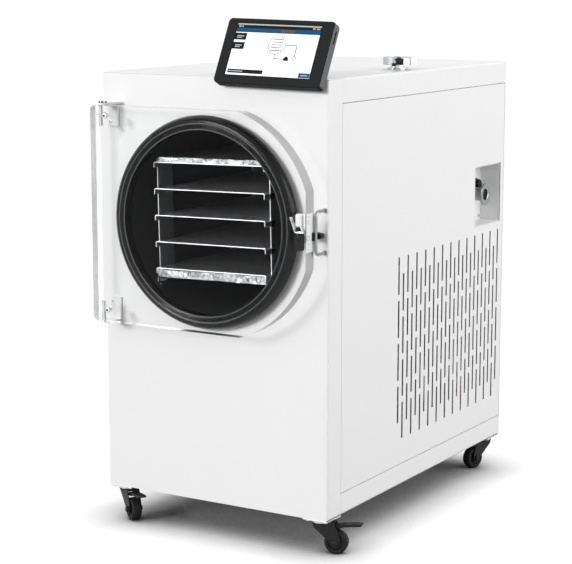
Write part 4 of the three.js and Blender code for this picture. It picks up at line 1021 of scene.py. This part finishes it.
def makeLatch():
    size = latch
    plate, face = blockShape(*size["plate"], 0.5), size["side"][0][1]
    join(plate, blockShape(*size["side"], 0.5))
    addScrews(plate, size["screw"], [(face, size["screwY"], z) for z in size["screws"]], rightward, 1)
    join(plate, turnedShape([(0, 0), (4.6, 0), (4.2, 1.3), (0, 1.3)], 24),
         spot(face - 0.2, *size["boss"]) @ rightward, 1)
    finishPiece("latchPlate", plate, ["blockPlastic", "zincPlate"], "door", ["latch_base"])
    finishPiece("latchBlock", blockShape(*size["block"], 1.6, 4), ["blockPlastic"], "door")

    knobPlace = spot(size["knob"][0], 0, size["knob"][1]) @ backward
    bright = bmesh.new()
    for cheek in size["cheeks"]:
        join(bright, leaningBar(*cheek, size["cheekY"], size["cheekThick"]))
    join(bright, blockShape(*size["bridge"], 0.4))
    join(bright, disc(4.3, -51.6, -50.0, 28), knobPlace)
    finishPiece("latchCheeks", bright, ["polishedSteel"], "door")
    radius = size["knobRadius"]
    knob = turnedShape([(0, -57.2), (2.4, -57.2), (3.3, -56.6), (radius, -55.4), (radius, -51.4),
                        (0, -51.4)], 28)
    knob.transform(knobPlace)
    join(knob, blockShape(*size["root"], 0.8, 3))
    finishPiece("latchKnob", knob, ["gripPlastic"], "door")

    refineNode("latch_handle", ["gripPlastic"], 1.0, 3)
    refineNode("latch_tongue", ["gripPlastic"], 0.7)
    cap = turnedShape([(0, -0.4), (4.4, -0.4), (4.4, 0.4), (3.6, 0.9), (0, 0.9)], 28)
    finishPiece("latchHandleCap", cap, ["gripPlastic"], "latch",
                placing=spot(size["axis"][0], size["capFront"], size["axis"][1]) @ forward)


strike = {"x": 204.0, "radius": 2.5, "foot": 3.8, "inset": (2.0, 2.5), "bend": 7.5}


def makeStrike():
    low, high, _ = nodeBox("latch_strike")
    x, radius, foot = strike["x"], strike["radius"], strike["foot"]
    ends = (high.z - foot - strike["inset"][1], low.z + foot + strike["inset"][0])
    bar = low.y + radius
    mesh = pipeShape([(x, y, z) for y, z in zip((-0.4, bar, bar, -0.4), (ends[0], *ends, ends[1]))],
                     radius, strike["bend"], 24, 10)
    for z in reversed(ends):
        join(mesh, turnedShape([(radius - 0.1, -1.9), (foot - 0.5, -1.9), (foot, -1.4), (foot, -0.3),
                                (radius - 0.1, -0.3)], 28), spot(x, 0, z) @ backward)
    replaceNode("latch_strike", mesh, ["bentRod"])


refineNode("door_panel", ["clearFace", "clearEdge", "clearRimPaintedGrey"], 0.9, 3, choose=doorFinish, name="doorSlab",
           smooth=30)
for hingeEnd in ("upper", "lower"):
    refineNode("hinge_bracket_" + hingeEnd, ["whitePaint", "polishedSteel"], 0.35, choose=hingeFinish,
               name="hinge" + hingeEnd.capitalize())
makeHingeScrews()
makeLatch()
makeStrike()
print("door, hinges and latch done")

# Touch display on its bracket. Its own layout: x across, y back from its face, z up from its lower edge.
display = {
    "place": (112.3, -24.502, 734.0), "lean": -25.6, "twist": 1.2, "thickness": 17.0,
    "screen": (150.0, 85.0), "screenMiddle": (-1.2, 56.05), "border": 2.2, "lap": 0.2,
    "screw": (2.6, 0.9, 1.2, 0.7), "screwX": (-84, 84), "screwZ": (12, 95),
    "vents": 12, "ventPitch": 5.0, "ventLeft": -78.0, "ventZ": (78, 98),
    "plug": ((54, 80), (16.9, 17.6), (70, 88)),
}
displayPlacing = spot(*display["place"]) @ turn(display["lean"], "X") @ turn(display["twist"], "Y")
screenLeft, screenTop = (display["screenMiddle"][0] - display["screen"][0] / 2,
                         display["screenMiddle"][1] + display["screen"][1] / 2)


def makeDisplay():
    size = display
    # the housing's side faces take the lighter grey: a painted reflection
    sideways = displayPlacing.to_3x3() @ Vector((1, 0, 0))
    refineNode("display_housing", ["housingPlastic", "housingSide"], 0.35, angle=38,
               choose=lambda centre, normal: 1 if abs(normal.dot(sideways)) > 0.85 else 0)
    refineNode("display_bracket", ["housingPlastic"], 1.2, 3)
    (wide, tall), border, lap = size["screen"], size["border"], size["lap"]
    left, right, low, high = screenLeft, screenLeft + wide, screenTop - tall, screenTop
    screen = blockShape((left, right), (0.34, 0.9), (low, high), 0.15)
    for x0, x1, z0, z1 in ((left - border, right + border, low - border, low + lap),
                           (left - border, right + border, high - lap, high + border),
                           (left - border, left + lap, low, high), (right - lap, right + border, low, high)):
        join(screen, blockShape((x0, x1), (-0.12, 0.2), (z0, z1), 0.1), material=1)
    replaceNode("display_screen", screen, ["screenField", "screenDark"], placing=displayPlacing)

    spots = [(x, size["thickness"] - 0.1, z) for x, z in grid(size["screwX"], size["screwZ"])]
    finishPiece("displayScrews", addScrews(bmesh.new(), size["screw"], spots, backward), ["machineBlack"],
                placing=displayPlacing)
    vents = bmesh.new()
    for step in range(size["vents"]):
        x = size["ventLeft"] + size["ventPitch"] * step
        join(vents, blockShape((x, x + 2.4), (16.9, 17.25), size["ventZ"], 0.2))
    join(vents, blockShape(*size["plug"], 0.5))
    finishPiece("displayRearVents", vents, ["machineBlack"], placing=displayPlacing)


# What the screen shows: a plain process diagram. u runs from its left edge, v from its upper edge.
picture = {
    "bars": [  # tint, then u span and v span of each
        ("screenPale", (0.0, 1.0, 0.0, 0.028)), ("screenDark", (0.0, 1.0, 0.028, 0.088)),
        ("screenBlue", (0.0, 1.0, 0.088, 0.17)), ("screenGrey", (0.53, 0.70, 0.095, 0.17)),
        ("screenDark", (0.0, 0.14, 0.185, 0.32), (0.0, 0.14, 0.365, 0.50), (0.02, 0.44, 0.888, 0.962)),
        ("screenBlue", (0.865, 0.995, 0.90, 0.99)),
        ("screenDark", (0.645, 0.70, 0.62, 0.685), (0.66, 0.685, 0.60, 0.62)),
        ("screenPale", (0.02, 0.05, 0.045, 0.07), (0.06, 0.075, 0.045, 0.07), (0.90, 0.93, 0.045, 0.07),
         (0.945, 0.985, 0.045, 0.07), (0.03, 0.11, 0.235, 0.255), (0.03, 0.09, 0.27, 0.285),
         (0.03, 0.11, 0.415, 0.435), (0.03, 0.09, 0.45, 0.465), (0.03, 0.20, 0.917, 0.933),
         (0.89, 0.97, 0.935, 0.955)),
    ],
    "lines": [(0.635, 0.765, 0.386), (0.53, 0.645, 0.655), (0.655, 0.67, 0.535), (0.68, 0.69, 0.535)],
    "uprights": [(0.765, 0.386, 0.60), (0.53, 0.575, 0.655)],
    "circles": [(0.53, 0.39, 15.5, 0.8), (0.765, 0.63, 3.4, 0.8)],
    "shelves": 5, "shelfPitch": 4.6, "shelfReach": 0.62, "lineWidth": 1.1, "barStep": 0.004, "lineStep": 0.09,
}


def makePicture():
    wide, tall = display["screen"]
    tints = ["screenPale", "screenDark", "screenBlue", "screenGrey", "screenLine"]
    mesh = bmesh.new()

    def bar(u0, u1, v0, v1, tint="screenLine", depth=picture["lineStep"]):
        join(mesh, blockShape((screenLeft + u0 * wide, screenLeft + u1 * wide), (0.25 - depth, 0.36),
                              (screenTop - v1 * tall, screenTop - v0 * tall)), material=tints.index(tint))

    bars = [(span, tint) for tint, *spans in picture["bars"] for span in spans]
    for order, (span, tint) in enumerate(bars):
        bar(*span, tint, picture["barStep"] * order)
    halfU, halfV = picture["lineWidth"] / 2 / wide, picture["lineWidth"] / 2 / tall
    for u0, u1, v in picture["lines"]:
        bar(u0, u1, v - halfV, v + halfV)
    for u, v0, v1 in picture["uprights"]:
        bar(u - halfU, u + halfU, v0, v1)
    for u, v, radius, line in picture["circles"]:
        ring = turnedShape([(radius - line, 0.15), (radius, 0.15), (radius, 0.36), (radius - line, 0.36)], 56)
        join(mesh, ring, spot(screenLeft + u * wide, 0, screenTop - v * tall) @ backward,
             tints.index("screenLine"))
    u, v, radius, line = picture["circles"][0]
    reach = picture["shelfReach"] * radius / wide
    for step in range(picture["shelves"]):
        at = v + (step - 2) * picture["shelfPitch"] / tall
        bar(u - reach, u + reach, at - halfV, at + halfV)
    finishPiece("screenPicture", mesh, tints, placing=displayPlacing)


makeDisplay()
makePicture()
print("display done")

# Vacuum ports. A flanged tube's face is at 0 and the tube runs down from it.
flangedTube = {"bore": 10.0, "tube": 12.0, "flange": 20.0, "thick": 3.0, "taper": 3.0, "steps": 72}
sidePort = {
    "nut": [(11.9, 0), (15, 0), (15, 5), (11.9, 5)], "nutX": 173.5,
    "plug": [(0, -9.0), (9.9, -9.0), (9.9, -5.0), (9.3, -4.4), (0, -4.4)],
    "gland": [(0, 4), (9, 4.2), (9.2, 5), (9.2, 8.4), (8.4, 10), (6.4, 11.6), (4.6, 12), (4.2, 11.4),
              (0, 11.2)],
    "glandHex": (11, 0, 4, 6), "ribs": 12, "rib": ((9.0, 9.5), (-0.6, 0.6), (4.8, 8.6)),
    "screw": (2.6, 1.5, 1.1, 0.9), "screwInset": 8.0,
}
topPort = {
    "skirt": [(11.9, 0.3), (17, 0.3), (17, 2.2), (16.4, 2.8), (11.9, 2.8)], "skirtZ": 744.0,
    "seal": [(17.2, -0.1), (18.6, -0.1), (18.6, 0.4), (17.2, 0.4)],
}


def flangedShape(length):
    size = flangedTube
    bore, tube, rim, thick = size["bore"], size["tube"], size["flange"], size["thick"]
    return turnedShape([(bore, -length), (tube, -length), (tube, -thick - size["taper"] - 0.8),
                        (tube + 0.7, -thick - size["taper"]), (rim - 0.5, -thick - 0.3), (rim, -thick + 0.3),
                        (rim, -0.5), (rim - 0.5, 0), (bore + 3.2, 0), (bore + 2.9, -0.5), (bore + 0.9, -0.9),
                        (bore, -1.8)], size["steps"])


def makeSidePort():
    size = sidePort
    low, high, middle = nodeBox("side_vacuum_port")
    place = spot(high.x, middle.y, middle.z) @ rightward
    mesh = flangedShape(high.x - low.x)
    mesh.transform(place)
    nut = turnedShape(size["nut"], 6)
    roundEdges(nut, 0.5, 2, 50)
    join(mesh, nut, spot(size["nutX"], middle.y, middle.z) @ rightward)
    replaceNode("side_vacuum_port", mesh, ["bentRod"], smooth=40)
    finishPiece("sidePortPlug", turnedShape(size["plug"], 48), ["gripPlastic"], placing=place)

    low, _, middle = nodeBox("pocket_gland")
    mesh = disc(*size["glandHex"])
    roundEdges(mesh, 0.5, 2, 50)
    join(mesh, turnedShape(size["gland"], 36))
    for step in range(size["ribs"]):
        join(mesh, blockShape(*size["rib"], 0.2), turn(360 / size["ribs"] * step, "Z"))
    replaceNode("pocket_gland", mesh, ["gripPlastic"], placing=spot(low.x, middle.y, middle.z) @ rightward)
    low, high, _ = nodeBox("port_pocket")
    spots = [(low.x + 1.5, y, z) for y, z in corners((low.y, high.y), (low.z, high.z), size["screwInset"])]
    finishPiece("pocketScrews", addScrews(bmesh.new(), size["screw"], spots, rightward), ["zincPlate"])
    # black strip filling the gap at the pocket's rear edge: painted shade in the gap
    seal = blockShape((high.x - 3.0, high.x - 0.15), (high.y + 0.2, high.y + 3.9), (low.z + 2, high.z - 2), 0.4)
    finishPiece("pocketSeal", seal, ["gasketRubber"])


def makeTopPort():
    low, high, middle = nodeBox("top_port_stub")
    face = spot(middle.x, middle.y, high.z)
    mesh = flangedShape(high.z - low.z)
    mesh.transform(face)
    join(mesh, turnedShape(topPort["skirt"]), spot(middle.x, middle.y, topPort["skirtZ"]))
    replaceNode("top_port_stub", mesh, ["polishedSteel"], smooth=40)
    low, high, _ = nodeBox("top_port_blank")
    tall = high.z - low.z
    cap = turnedShape([(0, 0), (19.5, 0), (20, 0.5), (20, tall - 1.8), (19.4, tall - 1.5), (15.6, tall - 0.4),
                       (15.2, tall), (9.0, tall), (8.4, tall - 0.5), (0, tall - 0.5)], 72)
    replaceNode("top_port_blank", cap, ["polishedSteel"], placing=spot(middle.x, middle.y, low.z))
    finishPiece("topPortSeal", turnedShape(topPort["seal"]), ["gasketRubber"], placing=face)
    refineNode("top_port_clamp", ["castMetal"], 0.6, 3, angle=36)
    refineNode("top_port_wing_nut", ["gripPlastic"], 0.6, 3)


makeSidePort()
makeTopPort()
print("ports done")

# Casters, each drawn trailing along x and turned to its heading.
casters = {
    "headings": {"front_left": -34, "front_right": 16, "rear_left": -70, "rear_right": -109},
    "trail": 24.0, "wheelRadius": 19.0, "wheelHalf": 8.0, "boltAt": 15.5, "spokes": 6,
    "bolt": [(0, 0), (3.9, 0), (3.9, -1.6), (3.4, -2.0), (0, -2.0)], "boltDrop": 2.6,
    "race": [(11.5, -0.2), (15.2, -0.2), (15.7, -1.0), (15.2, -2.9), (11.5, -2.9)],
    "nut": [(0, 0), (5.0, 0), (5.0, 2.6), (4.4, 3.2), (0, 3.2)], "nutAt": 11.0,
    # radius and distance in from the wheel's side, mirrored onto its other half
    "tyre": [(13.2, 0.7), (14.2, 0), (16.6, 0), (18.0, 0.9), (18.8, 2.6), (19.0, 4.4)],
    "hub": [(3.9, 0), (6.6, 0), (7.2, 0.6), (7.2, 1.6), (11.6, 1.9), (12.4, 0.6), (13.3, 0.6)],
    "spoke": ((7.0, 12.6), (-0.8, 0.8)), "ribs": 4, "rib": ((-0.5, 0.5), (-5.6, 5.6), (0, 0.9)),
}


def wheelShape(section, steps):
    half = casters["wheelHalf"]
    return turnedShape([(radius, inset - half) for radius, inset in section]
                       + [(radius, half - inset) for radius, inset in reversed(section)], steps)


def makeCaster(place, heading):
    size, node = casters, "caster_" + place
    plateLow, plateHigh, middle = nodeBox(node + "_plate")
    turned = spot(middle.x, middle.y, 0) @ turn(heading, "Z")
    plate = nodeCopy(node + "_plate")
    roundEdges(plate, 0.5)
    for x, y in grid((-1, 1), (-1, 1)):
        join(plate, turnedShape(size["bolt"], 6), spot(
            middle.x + x * size["boltAt"], middle.y + y * size["boltAt"], plateHigh.z - size["boltDrop"]))
    replaceNode(node + "_plate", plate, ["zincPlate"])

    fork = nodeCopy(node + "_fork")
    roundEdges(fork, 0.5)
    join(fork, turnedShape(size["race"], 48), spot(middle.x, middle.y, plateLow.z))
    for side in (-1, 1):
        join(fork, turnedShape(size["nut"], 6),
             turned @ spot(size["trail"], side * size["nutAt"], size["wheelRadius"]) @ turn(-90 * side, "X"))
    replaceNode(node + "_fork", fork, ["machineBlack", "zincPlate"], "swivel_" + place)

    across = turned @ spot(size["trail"], 0, size["wheelRadius"]) @ backward
    finishPiece(camel(node + "_tyre"), wheelShape(size["tyre"], 72), ["tyreRubber"], "wheel_" + place,
                [node + "_wheel"], placing=across)
    hub, half = wheelShape(size["hub"], 64), size["wheelHalf"]
    for step, side in grid(range(size["spokes"]), (-1, 1)):
        join(hub, blockShape(*size["spoke"], (side * (half - 2.2), side * (half - 0.7)), 0.3),
             turn(360 / size["spokes"] * step, "Z"))
    finishPiece(camel(node + "_hub"), hub, ["gripPlastic"], "wheel_" + place, placing=across)

    if place.startswith("front"):
        lever = nodeCopy(node + "_brake")
        roundEdges(lever, 0.6)
        for step in range(size["ribs"]):
            join(lever, blockShape(*size["rib"], 0.25), turned @ spot(45.5 + 3.2 * step, 0, 49.0 + 0.55 * step))
        replaceNode(node + "_brake", lever, ["gripPlastic"], "brake_" + place)


for casterPlace, casterHeading in casters["headings"].items():
    makeCaster(casterPlace, casterHeading)
print("casters done")

# Machinery behind the side panels. The rotary parts' sections are radius and height.
compressor = {
    "radius": 72.0, "steps": 72, "seam": 3.0, "footSide": 150.0, "box": (46, 22, 52), "boxLow": 44.0,
    "shoulder": [(52, 2.5), (60, 4.5), (66, 8.5), (70, 13)],
    "dome": [(0, 30), (2, 22), (7, 14), (15, 8), (28, 3.5), (50, 0.8)],      # in from the side, down
    "mountAt": 64.0, "mount": [(4, 2.8), (9, 2.8), (9, 5), (7, 6), (7, 9), (9, 10), (9, 12), (4, 12)],
    "screw": (6.0, 3.4, 2.4, 2.0),
    "drier": [(0, 0), (4, 0), (5, 5), (11, 12), (12, 15), (12, 62), (11, 65), (5, 72), (4, 77), (0, 77)],
    "drierPlace": (150, 430, 150),
    "pipes": [  # radius, bend, x from the pot's middle, y and z by the pot, y and z farther back
        (4.0, 14, 50, [(0, 196), (0, 262)], [(455, 262), (455, 282), (500, 282)]),
        (5.0, 16, -42, [(0, 205), (0, 300)], [(447, 300), (447, 380)]),
        (3.2, 11, 6, [(-62, 170), (-92, 170), (-92, 290)], [(446, 290), (446, 372)]),
    ],
}


def makeCompressor():
    size = compressor
    low, high, middle = nodeBox("compressor")
    foot, radius, tall, seam = spot(middle.x, middle.y, low.z), size["radius"], high.z - low.z, size["seam"]
    mesh = turnedShape([(0, 2.5), *size["shoulder"], (radius, 18.5), (radius, 72.6), (radius + 2.6, 73.0),
                        (radius + seam, 74), (radius + seam, 82), (radius + 2.6, 83.2), (radius, 83.6),
                        *[(radius - inset, tall - drop) for inset, drop in size["dome"]], (0, tall)],
                       size["steps"])
    join(mesh, plateShape(size["footSide"], 2.6, 14, 0.5))
    wide, deep, height = size["box"]
    base, front = size["boxLow"], -radius - deep + 6
    join(mesh, blockShape((-wide / 2, wide / 2), (front, front + deep), (base, base + height), 3, 3))
    join(mesh, blockShape((-wide / 2 + 4, wide / 2 - 4), (front - 1.4, front + 0.6),
                          (base + 4, base + height - 4), 0.8))
    finishPiece("compressorPot", mesh, ["machineBlack"], replaced=["compressor"], placing=foot)

    mesh = bmesh.new()
    for x, y in grid((-1, 1), (-1, 1)):
        corner = foot @ spot(x * size["mountAt"], y * size["mountAt"], 0)
        join(mesh, turnedShape(size["mount"], 28), corner, 0)
        join(mesh, socketScrew(*size["screw"]), corner @ spot(0, 0, 12.2), 1)
    finishPiece("compressorMounts", mesh, ["tyreRubber", "zincPlate"])

    pipes = bmesh.new()
    for radius, bend, x, near, far in size["pipes"]:
        turns = [(middle.y + y, z) for y, z in near] + far
        join(pipes, pipeShape([(middle.x + x, *turn) for turn in turns], radius, bend))
    finishPiece("coolantPipes", pipes, ["machineBlack"])
    finishPiece("coolantDrier", turnedShape(size["drier"], 36), ["castMetal"],
                placing=spot(*size["drierPlace"]))


condenser = {"finPitch": 5.5, "finThick": 0.5, "tubeRadius": 4.5, "tubeRows": 8, "tank": 4.0, "rim": 3.0,
             "tubeEnd": 15.0, "tubeHalf": 9.0, "sides": 14}


def makeCondenser():
    size = condenser
    low, high, middle = nodeBox("condenser")
    tank, rim, radius, half = size["tank"], size["rim"], size["tubeRadius"], size["tubeHalf"]
    mesh = bmesh.new()
    for x in (low.x, high.x - tank):
        join(mesh, blockShape((x, x + tank), (low.y, high.y), (low.z, high.z), 0.6))
    for z in (low.z, high.z - rim):
        join(mesh, blockShape((low.x, high.x), (low.y, high.y), (z, z + rim), 0.5))
    depthSpan, heightSpan = (low.y + rim, high.y - rim), (low.z + rim, high.z - rim)
    for number in range(1, int((high.x - low.x - 2 * tank) / size["finPitch"]) + 1):
        x = low.x + tank + number * size["finPitch"]
        join(mesh, blockShape((x, x + size["finThick"]), depthSpan, heightSpan))
    finishPiece("condenserFins", mesh, ["finMetal"], replaced=["condenser"])

    tubes = bmesh.new()
    near, far = middle.y - half, middle.y + half
    pitch = (high.z - low.z - 2 * size["tubeEnd"]) / (size["tubeRows"] - 1)
    heights = [low.z + size["tubeEnd"] + row * pitch for row in range(size["tubeRows"])]
    for z in heights:
        for y in (near, far):
            join(tubes, pipeShape([(low.x - 2, y, z), (high.x + 2, y, z)], radius, sides=size["sides"]))
        end = high.x + 11
        join(tubes, pipeShape([(high.x, near, z), (end, near, z), (end, far, z), (high.x, far, z)],
                              radius - 0.3, 8.5, size["sides"], 5))
    for row, z in enumerate(heights[:-1]):
        y, end = near if row % 2 else far, low.x - 12
        join(tubes, pipeShape([(low.x, y, z), (end, y, z), (end, y, z + pitch), (low.x, y, z + pitch)],
                              radius - 0.3, 10, size["sides"], 6))
    finishPiece("condenserTubes", tubes, ["copperPipe"])


fanParts = {
    "cap": [(0, 2.4), (5.5, 2.2), (14, 1.2), (17, 0), (20.5, 0), (20.5, -0.5), (0, -0.5)],
    "cornerScrew": (3.6, 2.0, 1.5, 1.2, 6.0), "inset": 12.0,
    "hubScrew": (2.4, 1.5, 1.1, 0.9), "hubScrewAt": 19.0, "hubScrews": 4,
}


def makeFan():
    size = fanParts
    refineNode("fan_shroud", ["machineBlack"], 0.6)
    refineNode("fan_rotor", ["gripPlastic"], 0.5)
    low, _, middle = nodeBox("fan_rotor")
    finishPiece("fanHubCap", turnedShape(size["cap"], 40), ["gripPlastic"], "fan",
                placing=spot(middle.x, low.y + 0.4, middle.z) @ forward)
    low, high, _ = nodeBox("fan_shroud")
    reach = size["hubScrewAt"]
    spots = [(x, low.y + 2.5, z) for x, z in corners((low.x, high.x), (low.z, high.z), size["inset"])]
    screws = addScrews(bmesh.new(), size["cornerScrew"], spots, backward)
    angles = [math.radians(45 + 360 / size["hubScrews"] * step) for step in range(size["hubScrews"])]
    addScrews(screws, size["hubScrew"], [(middle.x + reach * math.cos(angle), high.y + 0.2,
                                          middle.z + reach * math.sin(angle)) for angle in angles], backward)
    finishPiece("fanScrews", screws, ["zincPlate"])


controlBox = {"lid": 16.0, "over": 1.0, "screw": (3.2, 1.9, 1.4, 1.1, 4.6), "screwInset": (8.0, 10.0),
              "glands": 3, "glandPitch": 27.0, "glandLeft": 25.0, "glandZ": 60.0,
              "gland": [(0, 4), (8.2, 4), (8.4, 9), (6, 12), (4, 12.4), (0, 12.4)], "cable": (3.2, 14)}


def makeControlBox():
    size, over = controlBox, controlBox["over"]
    mesh = nodeCopy("control_box")
    low, high, _ = nodeBox("control_box")
    roundEdges(mesh, 1.2, 3)
    join(mesh, blockShape((low.x - over, high.x + over), (low.y - over, high.y + over),
                          (high.z - size["lid"], high.z + 1.2), 0.8))
    replaceNode("control_box", mesh, ["innerGreyPaint"])
    x, y = size["screwInset"]
    spots = [(*ends, high.z + 1.5) for ends in grid((low.x + x, high.x - x), (low.y + y, high.y - y))]
    finishPiece("controlBoxScrews", addScrews(bmesh.new(), size["screw"], spots), ["zincPlate"])
    glands, z = bmesh.new(), low.z + size["glandZ"]
    for step in range(size["glands"]):
        x, bendY = low.x + size["glandLeft"] + size["glandPitch"] * step, high.y + 40 + 8 * step
        for part in (disc(10, 0, 4, 6), turnedShape(size["gland"], 28)):
            join(glands, part, spot(x, high.y - 0.1, z) @ backward)
        join(glands, pipeShape([(x, high.y + 12, z), (x, bendY, z), (x, bendY, low.z + 8)], *size["cable"]))
    finishPiece("controlBoxGlands", glands, ["gripPlastic"])


inlet = {"pins": (0, 7), "pinReach": 1.3, "socketZ": (12, 27), "socketY": (15.6, 1.5)}
inletLow, inletHigh, inletMiddle = nodeBox("mains_inlet")


def inletFinish(centre, normal):
    across = abs(centre.x - inletMiddle.x)
    inPin = any(abs(across - pin) < inlet["pinReach"] for pin in inlet["pins"])
    (low, high), (near, far) = inlet["socketZ"], inlet["socketY"]
    return int(inPin and low < centre.z - inletLow.z < high and far < inletHigh.y - centre.y < near)


rockerRibs = {"count": 3, "half": 4.5, "first": (2.2, 3.0), "pitch": 2.2, "rise": 0.55, "depth": (2.6, 1.4)}


def makeInlet():
    refineNode("mains_inlet", ["gripPlastic", "polishedSteel"], 0.35, choose=inletFinish)
    refineNode("rocker_switch", ["gripPlastic"], 0.5, 3)
    size, ribs = rockerRibs, bmesh.new()
    _, high, middle = nodeBox("rocker_switch")
    for step in range(size["count"]):
        join(ribs, blockShape((middle.x - size["half"], middle.x + size["half"]),
                              [high.y - depth + size["rise"] * step for depth in size["depth"]],
                              [middle.z + side + size["pitch"] * step for side in size["first"]], 0.25))
    finishPiece("rockerRibs", ribs, ["blockPlastic"], "rocker")


makeCompressor()
makeCondenser()
makeFan()
makeControlBox()
makeInlet()
print("machinery done")

for cadName in sorted(nodes):          # CAD pieces that stay in view take a finish too
    piece = nodes[cadName]
    if not piece.hide_render:
        piece.data.materials.clear()
        piece.data.materials.append(materials["innerGreyPaint"])
        print("plain node left:", cadName)
